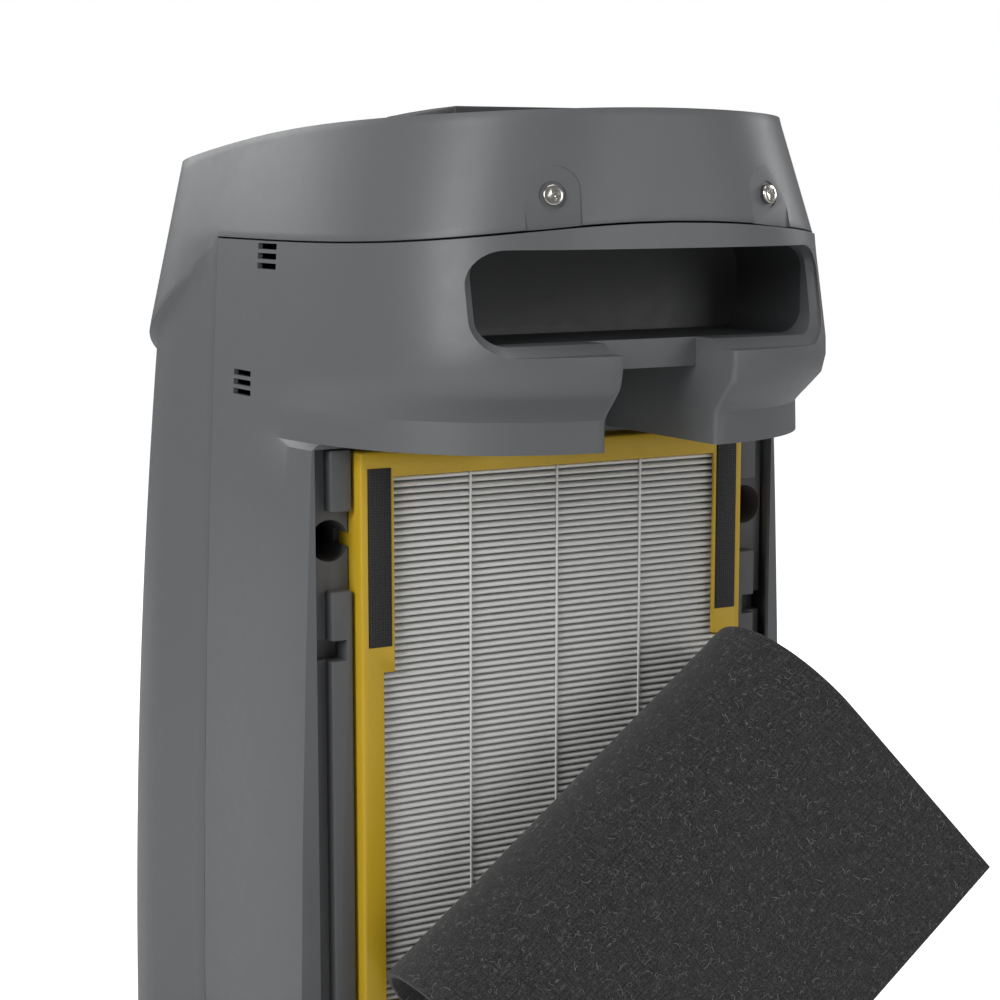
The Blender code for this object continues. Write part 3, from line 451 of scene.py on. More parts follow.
def loft(name: str, rows: Sequence[Sequence[Vector]],
         cap: Cap = Cap.STRIPS) -> bpy.types.Object:
    """Skin closed rows of points into one closed body.

    Args:
        name: The object's name.
        rows: Closed outlines with equal counts.
        cap: Strips across for a curved end, one face for a flat one.

    Returns:
        The body.
    """
    bm = bmesh.new()
    made = [[bm.verts.new(p) for p in row] for row in rows]
    count = len(made[0])
    for low, high in zip(made, made[1:]):
        for i in range(count):
            j = (i + 1) % count
            bm.faces.new((low[i], low[j], high[j], high[i]))
    if cap is Cap.FLAT:
        bm.faces.new(made[0])
        bm.faces.new(made[-1])
    else:
        for line in (made[0], made[-1]):
            for i in range(count // 2):
                mirror = count - 1 - i
                ring = list(dict.fromkeys((line[i], line[(i + 1) % count],
                                           line[mirror - 1], line[mirror])))
                if len(ring) > 2:
                    bm.faces.new(ring)
    return from_bmesh(name, bm)


def block(name: str, x: Sequence[float], y: Sequence[float],
          z: Sequence[float]) -> bpy.types.Object:
    """A cutting block from (low, high) pairs in millimetres.

    Args:
        name: The object's name.
        x: Low and high X.
        y: Low and high Y.
        z: Low and high Z.

    Returns:
        The block.
    """
    deselect()
    middle = point((x[0] + x[1]) / 2, (y[0] + y[1]) / 2, (z[0] + z[1]) / 2)
    bpy.ops.mesh.primitive_cube_add(size=1.0, location=(0, 0, 0))
    obj = bpy.context.active_object
    obj.name = name
    bpy.ops.object.mode_set(mode="EDIT")
    bpy.ops.mesh.select_all(action="SELECT")
    bpy.ops.transform.resize(
        value=((x[1] - x[0]) * MM, (y[1] - y[0]) * MM, (z[1] - z[0]) * MM))
    bpy.ops.transform.translate(value=middle)
    bpy.ops.object.mode_set(mode="OBJECT")
    return obj


def rounded(half_x: float, low_z: float, high_z: float, radius: float,
            steps: int = 10) -> Outline:
    """Points of a rounded rectangle, going round from the upper +X corner.

    Args:
        half_x: Half its width.
        low_z: Its lower edge.
        high_z: Its upper edge.
        radius: Corner radius.
        steps: Pieces of each corner.

    Returns:
        (x, z) points in millimetres.
    """
    corners = ((half_x - radius, high_z - radius, 0.0),
               (radius - half_x, high_z - radius, 90.0),
               (radius - half_x, low_z + radius, 180.0),
               (half_x - radius, low_z + radius, 270.0))
    points = []
    for x, z, start in corners:
        for i in range(steps + 1):
            angle = math.radians(start + 90.0 * i / steps)
            points.append((x + radius * math.cos(angle), z + radius * math.sin(angle)))
    return points


def body_and_slot(node: str) -> tuple[str, str]:
    """The CAD body a node rides on and its material slot.

    Args:
        node: The CAD node.

    Returns:
        The body's name and the slot's name.
    """
    record = frame["record"]
    body = next(b for b, members in record["behaviour"]["bodies"].items() if node in members)
    slot = next(s["material_slot"] for s in record["subparts"] if s["node"] == node)
    return body, slot


def dress(obj: bpy.types.Object, nodes: Sequence[str],
          finish: Optional[Finish] = None) -> bpy.types.Object:
    """Give a finished piece its material, its body and the nodes it stands for.

    Args:
        obj: The piece.
        nodes: The CAD nodes it stands for, the first giving body and slot.
        finish: Its finish, or None for the slot's own.

    Returns:
        The piece.
    """
    body, slot = body_and_slot(nodes[0])
    obj.data.materials.clear()
    obj.data.materials.append((finish or SLOT_FINISH[slot]).material())
    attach(obj, body)
    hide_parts(*nodes)
    LOG.info("%s rides on %s", obj.name, body)
    return obj


def refine(node: str, round_mm: float, finish: Optional[Finish] = None) -> bpy.types.Object:
    """Stand in for a CAD node with a copy whose edges are rounded.

    Args:
        node: The CAD node.
        round_mm: Edge radius.
        finish: Its finish, or None for the slot's own.

    Returns:
        The finer piece.
    """
    source = frame["nodes"][node]
    obj = new_object(node + "_skin", source.data.copy())
    clean(obj, flat=1.0)
    apply_modifier(obj, "BEVEL", width=round_mm * MM, segments=2, limit_method="ANGLE",
                   angle_limit=math.radians(40.0), use_clamp_overlap=True)
    soften(obj, 35.0)
    return dress(obj, [node], finish)


# ------------------------------------------------------------------- housing

@dataclass
class BodyForm:
    """The housing's outline at every height, in millimetres."""

    seam_y: float = -25.0
    wide_y: float = -80.0
    seam_z: float = 542.0
    rim_y: float = 105.0
    front_power: float = 2.5
    rear_power: float = 3.4
    skirt_bottom: float = 430.4
    levels: tuple = ((6.0, 217.0, 3.5), (200.0, 217.0, 3.5), (427.0, 217.0, 3.5),
                     (430.4, 217.0, 2.9), (448.0, 217.0, 2.9), (452.0, 220.0, 3.0),
                     (466.0, 232.0, 3.4), (476.0, 234.3, 3.5), (486.0, 234.5, 3.5),
                     (500.0, 232.0, 3.5), (525.0, 228.5, 3.45), (542.0, 226.5, 3.4))

    def seam_half(self, z: float) -> float:
        """Half width at the seam between the front and rear shells."""
        rise = max(0.0, min(z, self.seam_z) - 30.0) / 583.0
        return 175.5 - 22.6 * rise ** 1.71 - 0.2264 * max(0.0, z - self.seam_z)

    def front_half(self, z: float, crown: bool) -> float:
        """Half width at the front shell's widest line."""
        if crown:
            return 173.0 - 0.2264 * max(0.0, z - 481.8)
        return 191.0 - 39.0 * (max(0.0, z - 30.0) / 583.0) ** 1.9

    def front_face(self, z: float, crown: bool) -> float:
        """How far forward the front face stands."""
        return -182.0 + 0.12 * max(0.0, z - 450.0) if crown else -186.0 + 0.018 * z

    def crown_rear(self, z: float) -> float:
        """How far back the crown reaches."""
        return 225.0 - 0.167 * (z - 548.0)

    def crown_power(self, z: float) -> float:
        """The crown's outline gets rounder towards its rim."""
        return self.rear_power - 0.4 * min(1.0, max(0.0, (z - self.seam_z) / 66.0))

    def seam_height(self, x: float) -> float:
        """The crown's lower edge rises towards the middle of the back."""
        return self.seam_z + 12.0 * max(0.0, 1.0 - (x / 157.0) ** 2) ** 1.3

    def crease_height(self, y: float) -> float:
        """The crown's lower crease falls from the seam to the front."""
        share = min(1.0, max(0.0, (y + 182.0) / (182.0 + self.seam_y)))
        return 446.0 + (self.seam_z - 446.0) * share ** 1.2

    def rim_height(self, x: float, y: float) -> float:
        """The top edge is highest at the back."""
        return 615.0 - 0.0003 * (y - 150.0) ** 2 - 0.0004 * x * x

    def rear_xy(self, turn: float, half: float, reach: float,
                power: float) -> tuple[float, float]:
        """A place on the rear outline.

        Args:
            turn: From 0 at +X to 1 at -X.
            half: Half width at the seam.
            reach: How far back it goes from the seam.
            power: How square the outline is.

        Returns:
            X and Y in millimetres.
        """
        cosine, sine = math.cos(math.pi * turn), max(0.0, math.sin(math.pi * turn))
        x = half * math.copysign(abs(cosine) ** (2.0 / power), cosine)
        return x, self.seam_y + reach * sine ** (2.0 / power)

    def front_xy(self, turn: float, seam_half: float, wide: float,
                 face: float) -> tuple[float, float]:
        """A place on the front outline.

        Args:
            turn: From 0 at -X to 1 at +X.
            seam_half: Half width at the seam.
            wide: Half width at the widest line.
            face: The front face's Y.

        Returns:
            X and Y in millimetres.
        """
        lead = 0.08
        if turn <= lead or turn >= 1.0 - lead:
            share = min(turn, 1.0 - turn) / lead
            side = -1.0 if turn <= lead else 1.0
            x = side * (seam_half + (wide - seam_half) * share)
            return x, self.seam_y + (self.wide_y - self.seam_y) * share
        angle = math.pi * (turn - lead) / (1.0 - 2.0 * lead)
        cosine = math.cos(angle)
        x = -wide * math.copysign(abs(cosine) ** (2.0 / self.front_power), cosine)
        depth = (self.wide_y - face) * math.sin(angle) ** (2.0 / self.front_power)
        return x, self.wide_y - depth

    def level(self, z: float) -> tuple[float, float]:
        """The rear shell's outline at a height.

        Args:
            z: The height.

        Returns:
            How far back it reaches, and how square it is.
        """
        for (z0, r0, p0), (z1, r1, p1) in zip(self.levels, self.levels[1:]):
            if z <= z1:
                share = max(0.0, (z - z0) / (z1 - z0))
                return r0 + (r1 - r0) * share, p0 + (p1 - p0) * share
        return self.levels[-1][1], self.levels[-1][2]

    def hood_y(self, x: float, z: float) -> float:
        """How far back the hood's surface stands.

        Args:
            x: A place across the body.
            z: The height.

        Returns:
            Y in millimetres.
        """
        rear, power = self.level(min(z, self.seam_z))
        share = min(0.995, abs(x) / self.seam_half(z)) ** power
        return self.seam_y + (rear - self.seam_y) * (1.0 - share) ** (1.0 / power)

    def crown_y(self, x: float, z: float) -> float:
        """How far back the crown's surface stands.

        Args:
            x: A place across the body.
            z: The height.

        Returns:
            Y in millimetres.
        """
        power = self.crown_power(z)
        share = (abs(x) / self.seam_half(z)) ** power
        return self.seam_y + (self.crown_rear(z) - self.seam_y) * (1.0 - share) ** (1.0 / power)


@dataclass
class RearShell:
    """Rear moulding: sides, rim, hood, grip mouth, notch, bar and skirt."""

    form: BodyForm
    columns: int = 84
    wall: float = 3.0
    grip_half: float = 109.5
    grip_low: float = 489.0
    grip_high: float = 539.0
    corner: float = 14.0
    lip: float = 7.0
    lip_depth: float = 8.0
    notch_half: float = 35.5
    notch_round: float = 4.0
    roof: float = 473.0
    bar_y: float = 196.0
    opening_half: float = 156.6
    opening_low: float = 68.0
    vents: tuple = ((34.0, 525.0), (6.0, 451.0))
    vent_count: int = 3
    vent_pitch: float = 5.6
    vent_height: float = 3.4
    vent_length: float = 24.0
    heights: tuple = (100.0, 200.0, 300.0, 380.0, 427.0, 430.4, 440.0, 448.0, 450.0, 452.0,
                      456.0, 461.0, 466.0, 471.0, 476.0, 481.0, 486.0, 493.0, 500.0, 512.0,
                      525.0, 534.0, 542.0)
    socket_y: tuple = (20.0, 52.0)
    socket_z: tuple = (36.0, 62.0)

    def solid(self, name: str, inset: float, bottom: float, front: float,
              drop: float) -> bpy.types.Object:
        """A solid of the shell's form.

        Args:
            name: The object's name.
            inset: How far inside the outer surface.
            bottom: Lowest Z.
            front: The flat front's Y.
            drop: How far the top lies under the seam.

        Returns:
            The body.
        """
        rows = []
        for height in (bottom,) + self.heights:
            rear, power = self.form.level(height)
            half = self.form.seam_half(height) - inset
            flat = [(half, front)]
            for i in range(1, self.columns):
                flat.append(self.form.rear_xy(i / self.columns, half,
                                              rear - self.form.seam_y - inset, power))
            flat.append((-half, front))
            last = height == self.heights[-1]
            rows.append([point(x, y, self.form.seam_height(x) - drop if last else height)
                         for x, y in flat])
        return loft(name, rows)

    def mouth(self, inner_y: float) -> bpy.types.Object:
        """The body that cuts the grip's mouth, flared where it meets the hood.

        Args:
            inner_y: Where the cut starts inside.

        Returns:
            The cutting body.
        """
        steps = 7
        inner = rounded(self.grip_half, self.grip_low, self.grip_high, self.corner)
        rows = [[point(x, inner_y, z) for x, z in inner]]
        outer = rounded(self.grip_half + self.lip, self.grip_low - self.lip,
                        self.grip_high + 0.6, self.corner + self.lip)
        for i in range(steps + 1):
            angle = math.radians(90.0 - 76.0 * i / steps)
            row = []
            for (xi, zi), (xo, zo) in zip(inner, outer):
                share = 1.0 - math.sin(angle)
                x, z = xi + (xo - xi) * share, zi + (zo - zi) * share
                row.append(point(x, self.form.hood_y(x, z) - self.lip_depth * math.sin(angle), z))
            rows.append(row)
        rows.append([Vector((p.x, 0.300, p.z)) for p in rows[-1]])
        return loft("mouth", rows, Cap.FLAT)

    def gap(self, low_y: float, low_z: float, high_z: float) -> bpy.types.Object:
        """The body that cuts the notch, its edges rounded where they meet the hood.

        Args:
            low_y: How deep it cuts.
            low_z: Its lower end.
            high_z: Its upper end.

        Returns:
            The cutting body.
        """
        count = max(3, int((high_z - low_z) / 3.0))
        rows = []
        for i in range(count + 1):
            z = low_z + (high_z - low_z) * i / count
            face = self.form.hood_y(self.notch_half, max(z, 430.4)) if z > 300 else 217.0
            side = [(self.notch_half, low_y)]
            for k in range(5):
                angle = math.radians(80.0 * k / 4)
                side.append((self.notch_half + self.notch_round * (1.0 - math.cos(angle)),
                             face - self.notch_round * (1.0 - math.sin(angle)) + 0.1))
            side.append((self.notch_half + self.notch_round, 300.0))
            rows.append([point(x, y, z) for x, y in side]
                        + [point(-x, y, z) for x, y in reversed(side)])
        return loft("gap", rows, Cap.FLAT)

    def build(self) -> bpy.types.Object:
        """Model and dress the shell.

        Returns:
            The piece.
        """
        form = self.form
        shell = self.solid("rear_shell_skin", 0.0, 6.0, form.seam_y + 0.3, 1.1)
        cut(shell, [block("below", (-300, 300), (form.rim_y, 400), (-50, form.skirt_bottom))])
        hollow = self.solid("hollow", self.wall, -20.0, form.seam_y - 20.0, -30.0)
        side = self.notch_half + self.wall + 2.0
        rim, bar = (form.rim_y - self.wall, 400), (self.bar_y - self.wall, 400)
        keep = [
            block("rim_keep", (-300, 300), rim, (-60, form.skirt_bottom + self.wall)),
            block("notch_keep", (-side, side), rim, (0, self.roof + self.wall)),
            block("bar_keep", (-side, side), bar, (400, self.grip_low - 0.4)),
            block("mouth_keep", (-self.grip_half - 11, self.grip_half + 11), bar,
                  (self.grip_low - 11, self.grip_high + 1.5))]
        cut(hollow, keep)
        cut(shell, [hollow])
        cut(shell, [self.mouth(176.0)])
        cut(shell, [self.gap(form.rim_y, 300.0, self.roof),
                    self.gap(self.bar_y, 450.0, self.grip_low + 6.0)])
        cut(shell, [block("opening", (-self.opening_half, self.opening_half),
                          (form.rim_y - 20, form.rim_y + 20),
                          (self.opening_low, form.skirt_bottom - self.wall))])
        for low_y, low_z in self.vents:
            for i in range(self.vent_count):
                z = low_z + self.vent_pitch * i
                cut(shell, [block("slot", (120, 200), (low_y, low_y + self.vent_length),
                                  (z, z + self.vent_height))])
        cut(shell, [block("socket", (-200, -140), self.socket_y, self.socket_z)])
        clean(shell)
        soften(shell, 30.0)
        return dress(shell, ["rear_shell"])


@dataclass
class CrownShell:
    """Crown ring and front panel in one wall, with the two screw tabs."""

    form: BodyForm
    columns: int = 84
    crown_rows: int = 14
    panel_rows: int = 26
    wall: float = 3.0
    screw_x: float = 69.6
    screw_z: float = 567.7
    tab_half: float = 15.5
    tab_sink: float = 1.1

    def skin(self) -> bpy.types.Object:
        """The outer surface of the crown and the front panel.

        Returns:
            An open surface without a wall.
        """
        form, columns = self.form, self.columns
        bm = bmesh.new()
        rows = []
        for row in range(self.crown_rows + 1):
            share = row / self.crown_rows
            line = []
            for i in range(2 * columns):
                rear = i <= columns
                turn = (i if rear else i - columns) / columns
                z = 560.0
                for _ in range(5):
                    if rear:
                        reach = form.crown_rear(z) - form.seam_y
                        x, y = form.rear_xy(turn, form.seam_half(z), reach, form.crown_power(z))
                        low = form.seam_height(x)
                    else:
                        x, y = form.front_xy(turn, form.seam_half(z),
                                             form.front_half(z, True), form.front_face(z, True))
                        low = form.crease_height(y)
                    high = form.rim_height(x, y)
                    z = high + (low - high) * share
                line.append(bm.verts.new(point(x, y, z)))
            rows.append(line)
        for upper, lower in zip(rows, rows[1:]):
            for i in range(2 * columns):
                j = (i + 1) % (2 * columns)
                bm.faces.new((upper[i], upper[j], lower[j], lower[i]))
        previous = [rows[-1][(columns + i) % (2 * columns)] for i in range(columns + 1)]
        tops: list[float] = []
        for row in range(self.panel_rows + 1):
            verts = []
            for i in range(columns + 1):
                turn = i / columns
                if row == 0:
                    tuck = 4.0 * min(1.0, 6.0 * min(turn, 1.0 - turn))
                    tops.append(form.crease_height(previous[i].co.y / MM) - tuck)
                z = tops[i] + (4.0 - tops[i]) * row / self.panel_rows
                if row == 0 and i in (0, columns):
                    verts.append(previous[i])
                    continue
                x, y = form.front_xy(turn, form.seam_half(z), form.front_half(z, False),
                                     form.front_face(z, False))
                verts.append(bm.verts.new(point(x, y, z)))
            for i in range(columns):
                ring = list(dict.fromkeys((previous[i], previous[i + 1], verts[i + 1], verts[i])))
                if len(ring) > 2:
                    bm.faces.new(ring)
            previous = verts
        return from_bmesh("front_shell_skin", bm)

    def tab(self, side: float) -> bpy.types.Object:
        """The body that sinks one flat screw tab with a rounded top.

        Args:
            side: 1 for the +X tab, -1 for the other.

        Returns:
            The cutting body.
        """
        axis = Vector((side * 0.25, 0.955, 0.16)).normalized()
        x0 = side * self.screw_x
        floor = point(x0, self.form.crown_y(x0, self.screw_z), self.screw_z)
        floor -= axis * self.tab_sink * MM
        right = Vector((0, 0, 1)).cross(axis).normalized()
        up = axis.cross(right).normalized()
        outline = [(-self.tab_half, -40.0), (self.tab_half, -40.0)]
        for i in range(17):
            angle = math.pi * i / 16
            outline.append((self.tab_half * math.cos(angle), 3.0 + 13.0 * math.sin(angle)))
        rows = []
        for depth in (0.0, 20.0):
            rows.append([floor + (right * u + up * v + axis * depth) * MM for u, v in outline])
        return loft("tab", rows, Cap.FLAT)

    def build(self) -> bpy.types.Object:
        """Model and dress the shell.

        Returns:
            The piece.
        """
        shell = self.skin()
        apply_modifier(shell, "SOLIDIFY", thickness=self.wall * MM, offset=-1.0,
                       use_even_offset=True)
        apply_modifier(shell, "BEVEL", width=0.8 * MM, segments=2, limit_method="ANGLE",
                       angle_limit=math.radians(50.0), use_clamp_overlap=True)
        for side in (1.0, -1.0):
            cut(shell, [self.tab(side)])
            x0 = side * self.screw_x
            axis = Vector((math.copysign(0.27, x0), 0.95, 0.16)).normalized()
            floor = point(x0, self.form.crown_y(x0, self.screw_z), self.screw_z)
            floor -= axis * 1.6 * MM
            for radius, centre, depth in ((7.5, 5.0, 10.0), (2.7, 0.0, 16.0)):
                deselect()
                bpy.ops.mesh.primitive_cylinder_add(vertices=40, radius=radius * MM,
                                                    depth=depth * MM)
                drill = bpy.context.active_object
                turn = Vector((0, 0, 1)).rotation_difference(axis)
                drill.data.transform(turn.to_matrix().to_4x4())
                for vertex in drill.data.vertices:
                    vertex.co += floor + axis * centre * MM
                cut(shell, [drill])
        clean(shell)
        soften(shell, 28.0)
        return dress(shell, ["front_shell"])


# ---------------------------------------------------------- filter cartridge

@dataclass
class PleatedMedia:
    """Folded filter paper, its folds running from side to side."""

    half: float = 116.0
    low: float = 100.0
    high: float = 410.0
    tip_y: float = 105.3
    root_y: float = 89.0
    back_y: float = 80.6
    pitch: float = 3.9
    tip_radius: float = 1.15
    columns: int = 14

    def build(self) -> bpy.types.Object:
        """Model and dress the paper.

        Returns:
            The piece.
        """
        count = int((self.high - self.low) / self.pitch)
        pitch = (self.high - self.low) / count
        profile: Outline = []
        for k in range(count):
            base = self.low + pitch * k
            middle = base + pitch / 2
            profile.append((self.root_y, base + 0.05))
            neck = self.tip_y - self.tip_radius * 2.2
            profile.append((neck, middle - self.tip_radius * 1.02))
            for i in range(6):
                angle = math.radians(-80.0 + 160.0 * i / 5)
                profile.append((self.tip_y - self.tip_radius * (1.0 - math.cos(angle)),
                                middle + self.tip_radius * math.sin(angle)))
            profile.append((neck, middle + self.tip_radius * 1.02))
            profile.append((self.root_y, base + pitch - 0.05))
        profile.append((self.back_y, self.high))
        profile.append((self.back_y, self.low))
        rows = []
        for c in range(self.columns + 1):
            x = -self.half + 2 * self.half * c / self.columns
            row = []
            for y, z in profile:
                edge = 0.0 if y <= self.back_y else 0.16
                shift = noise.noise(Vector((x * 0.03, z * 0.25, 1.0))) * edge
                row.append(point(x, y, min(self.high, max(self.low, z + shift))))
            rows.append(row)
        obj = loft("filter_media_pleats", rows, Cap.FLAT)
        soften(obj, 60.0)
        return dress(obj, ["filter_media"])


@dataclass
class CarbonFelt:
    """The carbon pre-filter: one felt sheet rolled over on itself."""

    flat: tuple[float, float] = (0.285, 0.325)
    heel: float = 14.0
    roll: float = 65.0
    turn: float = 163.0
    flap: float = 126.0
    slant: float = 37.6
    thickness: float = 4.6
    start: tuple[float, float, float] = (98.4, 113.4, 88.1)
    fibres: int = 1500
    seed: int = 7

    def centre_line(self, steps: int = 130) -> list[tuple[float, float, float]]:
        """Places along the J-shaped section.

        Args:
            steps: Pieces of the whole section.

        Returns:
            Run across, height and slope at each place.
        """
        bend = math.radians(self.turn)
        arc = self.roll * bend
        whole = self.heel + arc + self.flap
        line = []
        for i in range(steps + 1):
            s = whole * i / steps - self.heel
            if s <= 0.0:
                line.append((s, 0.0, 0.0))
            elif s <= arc:
                angle = s / self.roll
                line.append((self.roll * math.sin(angle),
                             self.roll * (1.0 - math.cos(angle)), angle))
            else:
                u = self.roll * math.sin(bend) + (s - arc) * math.cos(bend)
                w = self.roll * (1.0 - math.cos(bend)) + (s - arc) * math.sin(bend)
                line.append((u, w, bend))
        return line

    def build(self) -> bpy.types.Object:
        """Model and dress the sheet and its loose fibres.

        Returns:
            The sheet.
        """
        slant = math.radians(self.slant)
        along = Vector((-math.cos(slant), 0.0, math.sin(slant)))
        across = Vector((math.sin(slant), 0.0, math.cos(slant)))
        outward = Vector((0.0, 1.0, 0.0))
        start = point(*self.start)
        line = self.centre_line()
        columns = 110
        bm = bmesh.new()
        uv = bm.loops.layers.uv.new("cut")
        grid, cut_at = [], {}
        for i, (u, w, angle) in enumerate(line):
            row = []
            for j in range(columns + 1):
                t = self.flat[0] * j / columns
                wave = 0.35 * noise.noise(Vector((t * 22.0, i * 0.09, 3.0)))
                du, dw = -math.sin(angle) * wave, math.cos(angle) * wave
                place = start + along * t + (across * (u + du) + outward * (w + dw)) * MM
                vertex = bm.verts.new(place)
                cut_at[vertex] = (t, self.flat[1] * i / (len(line) - 1))
                row.append(vertex)
            grid.append(row)
        for low, high in zip(grid, grid[1:]):
            for j in range(columns):
                face = bm.faces.new((low[j], low[j + 1], high[j + 1], high[j]))
                for loop in face.loops:
                    loop[uv].uv = cut_at[loop.vert]
        mesh = bpy.data.meshes.new("carbon_felt_sheet")
        bm.to_mesh(mesh)
        bm.free()
        sheet = new_object("carbon_felt_sheet", mesh)
        apply_modifier(sheet, "SOLIDIFY", thickness=self.thickness * MM, offset=0.0,
                       use_even_offset=True)
        apply_modifier(sheet, "BEVEL", width=0.9 * MM, segments=2, limit_method="ANGLE",
                       angle_limit=math.radians(60.0), use_clamp_overlap=True)
        soften(sheet, 60.0)
        dress(sheet, ["carbon_sheet"])
        hairs = self.loose_fibres(line, start, along, across, outward)
        return sheet

    def loose_fibres(self, line: list, start: Vector, along: Vector, across: Vector,
                     outward: Vector) -> bpy.types.Object:
        """Short curled fibres that stand off both faces of the felt.

        Args:
            line: The section's centre line.
            start: The sheet's first corner.
            along: Direction along the roll.
            across: Direction of the run.
            outward: Direction of the height.

        Returns:
            One piece that holds all fibres.
        """
        draw = random.Random(self.seed)
        bm = bmesh.new()
        length = self.flat[1] / MM
        for _ in range(self.fibres):
            s = draw.uniform(2.0, length - 2.0)
            t = draw.uniform(2.0, self.flat[0] / MM - 2.0)
            side = -1.0 if draw.random() < 0.72 else 1.0
            heading, bend = draw.uniform(0, 2 * math.pi), draw.uniform(-1.1, 1.1)
            step, width = draw.uniform(0.5, 1.1), draw.uniform(0.08, 0.16)
            lift = draw.uniform(0.0, 0.25)
            rings = []
            for k in range(6):
                index = min(max(s / length, 0.0), 1.0) * (len(line) - 1)
                u, w, angle = line[min(len(line) - 1, int(index))]
                part = index - int(index)
                un, wn, _ = line[min(len(line) - 1, int(index) + 1)]
                u, w = u + (un - u) * part, w + (wn - w) * part
                off = side * (self.thickness / 2 + 0.08 + lift * math.sin(math.pi * k / 5))
                normal = across * -math.sin(angle) + outward * math.cos(angle)
                tangent = across * math.cos(angle) + outward * math.sin(angle)
                place = start + (along * t + across * u + outward * w + normal * off) * MM
                aside = along * -math.sin(heading) + tangent * math.cos(heading)
                aside = aside * width * MM
                rings.append([bm.verts.new(place + aside), bm.verts.new(place - aside),
                              bm.verts.new(place + normal * side * width * 1.5 * MM)])
                t += step * math.cos(heading)
                s += step * math.sin(heading)
                heading += bend
            for a, b in zip(rings, rings[1:]):
                for i in range(3):
                    j = (i + 1) % 3
                    bm.faces.new((a[i], a[j], b[j], b[i]))
            bm.faces.new(rings[0])
            bm.faces.new(rings[-1])
        hairs = from_bmesh("felt_loose_fibres", bm)
        body, slot = body_and_slot("carbon_sheet")
        hairs.data.materials.append(LOOSE_FIBRE.material())
        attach(hairs, body)
        return hairs


@dataclass
class FilterCartridge:
    """Frame, paper, glue beads, hook tapes and felt."""

    media: PleatedMedia = field(default_factory=PleatedMedia)
    felt: CarbonFelt = field(default_factory=CarbonFelt)

    def build(self) -> None:
        """Build every piece of the cartridge."""
        refine("filter_frame", 0.7)
        self.media.build()
        for i in (1, 2, 3):
            refine("glue_string_%d" % i, 0.3)
        for side in ("left", "right"):
            refine("hook_strip_" + side, 0.4)
        self.felt.build()


# ------------------------------------------------------------- other members

@dataclass
class Fittings:
    """Nodes whose CAD shape is right: edges rounded, finish given."""

    rounded: dict = field(default_factory=lambda: {
        "handle_cup": 0.8, "filter_bay": 1.2, "base_tray": 0.8, "top_deck": 0.5,
        "outlet_grille": 0.5, "control_panel": 0.4, "display_window": 0.3, "button_power": 0.3,
        "button_speed": 0.3, "button_mode": 0.3, "button_timer": 0.3, "crown_screw_left": 0.15,
        "crown_screw_right": 0.15, "power_inlet": 0.5})

    def build(self) -> None:
        """Refine what shows and give the hidden nodes their finish."""
        finishes = {"filter_bay": DULL_ABS}
        for node, width in self.rounded.items():
            refine(node, width, finishes.get(node))
        for node, obj in frame["nodes"].items():
            if obj.hide_render:
                continue
            _, slot = body_and_slot(node)
            material = SLOT_FINISH[slot].material()
            if not obj.material_slots:
                obj.data.materials.append(material)
            for held in obj.material_slots:
                held.material = material
            LOG.info("%s keeps its CAD shape", node)


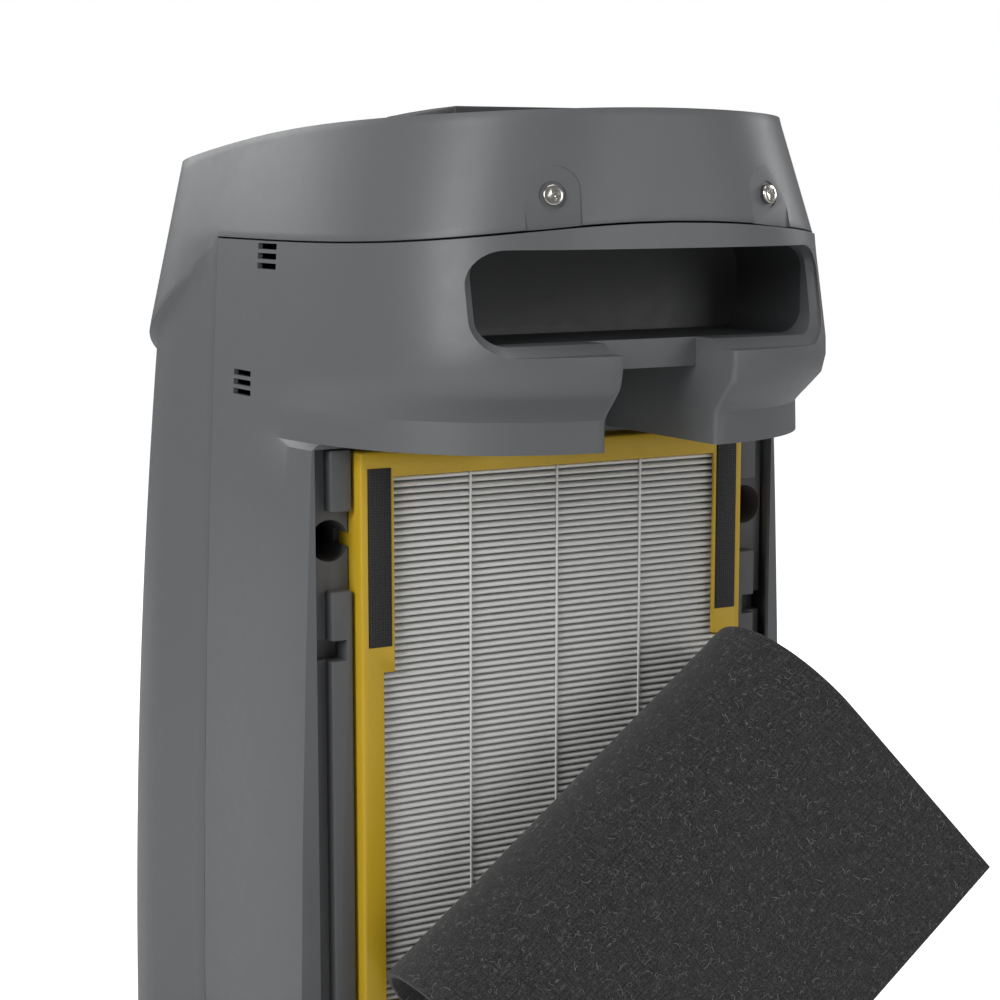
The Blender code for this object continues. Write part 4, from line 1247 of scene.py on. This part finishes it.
@dataclass
class Studio:
    """Pale floor, soft lights, camera."""

    eye: tuple[float, float, float] = (0.67674, 1.21885, 0.57806)
    yaw: float = 29.824
    pitch: float = 8.292
    lens: float = 80.28
    sensor: float = 36.0
    ambient: float = 0.20
    floor_glow: float = 0.85
    lamps: tuple = (("key", (2.2, 1.0, 1.35), (0.0, 0.05, 0.42), 1.2, 34.0),
                    ("top", (0.1, 0.5, 2.2), (0.0, 0.1, 0.5), 1.0, 8.0),
                    ("fill", (-0.9, 2.0, 0.9), (0.0, 0.1, 0.45), 0.8, 7.0),
                    ("rim", (-2.0, 0.3, 1.0), (0.0, 0.05, 0.45), 0.6, 7.0),
                    ("front", (0.9, -2.2, 1.5), (0.0, -0.1, 0.35), 1.2, 16.0))

    def build(self) -> None:
        """Set the floor, the lights, the world and the camera."""
        deselect()
        bpy.ops.mesh.primitive_plane_add(size=40.0, location=(0, 0, -0.0005))
        floor = bpy.context.active_object
        floor.name = "studio_floor"
        white = bpy.data.materials.new("studio_paper")
        white.use_nodes = True
        shader = white.node_tree.nodes["Principled BSDF"]
        shader.inputs["Base Color"].default_value = linear("#f4f4f4")
        shader.inputs["Roughness"].default_value = 0.9
        shader.inputs["Emission Color"].default_value = WHITE
        seen = add_node(white.node_tree, "ShaderNodeLightPath")
        glow = add_node(white.node_tree, "ShaderNodeMath", {0: seen.outputs["Is Camera Ray"]},
                        operation="MULTIPLY")
        glow.inputs[1].default_value = self.floor_glow
        white.node_tree.links.new(glow.outputs[0], shader.inputs["Emission Strength"])
        floor.data.materials.append(white)
        world = bpy.data.worlds.new("studio_world")
        bpy.context.scene.world = world
        world.use_nodes = True
        tree = world.node_tree
        back = tree.nodes["Background"]
        back.inputs["Color"].default_value = WHITE
        path = add_node(tree, "ShaderNodeLightPath")
        level = add_node(tree, "ShaderNodeMapRange", {"Value": path.outputs["Is Camera Ray"]})
        level.inputs["To Min"].default_value = self.ambient
        level.inputs["To Max"].default_value = 1.0
        tree.links.new(level.outputs["Result"], back.inputs["Strength"])
        for lamp in self.lamps:
            self.lamp(*lamp)
        camera = bpy.data.cameras.new("camera")
        camera.lens = self.lens
        camera.sensor_width = self.sensor
        holder = new_object("camera", camera)
        yaw, pitch = math.radians(self.yaw), math.radians(self.pitch)
        gaze = Vector((-math.sin(yaw) * math.cos(pitch), -math.cos(yaw) * math.cos(pitch),
                       -math.sin(pitch)))
        holder.location = self.eye
        holder.rotation_euler = gaze.to_track_quat("-Z", "Y").to_euler()
        bpy.context.scene.camera = holder
        bpy.context.scene.view_settings.view_transform = "Standard"

    def lamp(self, name: str, place: Sequence[float], aim: Sequence[float],
             size: float, power: float) -> None:
        """Add one soft square lamp.

        Args:
            name: Its name.
            place: Where it stands, in metres.
            aim: What it faces.
            size: Side of the square, in metres.
            power: Watts.
        """
        light = bpy.data.lights.new(name, "AREA")
        light.size = size
        light.energy = power
        holder = new_object(name, light)
        holder.location = place
        gaze = Vector(aim) - Vector(place)
        holder.rotation_euler = gaze.to_track_quat("-Z", "Y").to_euler()


def main() -> None:
    """Build the studio, then every sub-assembly in order."""
    logging.basicConfig(level=logging.INFO, format="%(name)s: %(message)s")
    Studio().build()
    form = BodyForm()
    RearShell(form).build()
    CrownShell(form).build()
    FilterCartridge().build()
    Fittings().build()
    deselect()


if __name__ == "__main__":
    main()
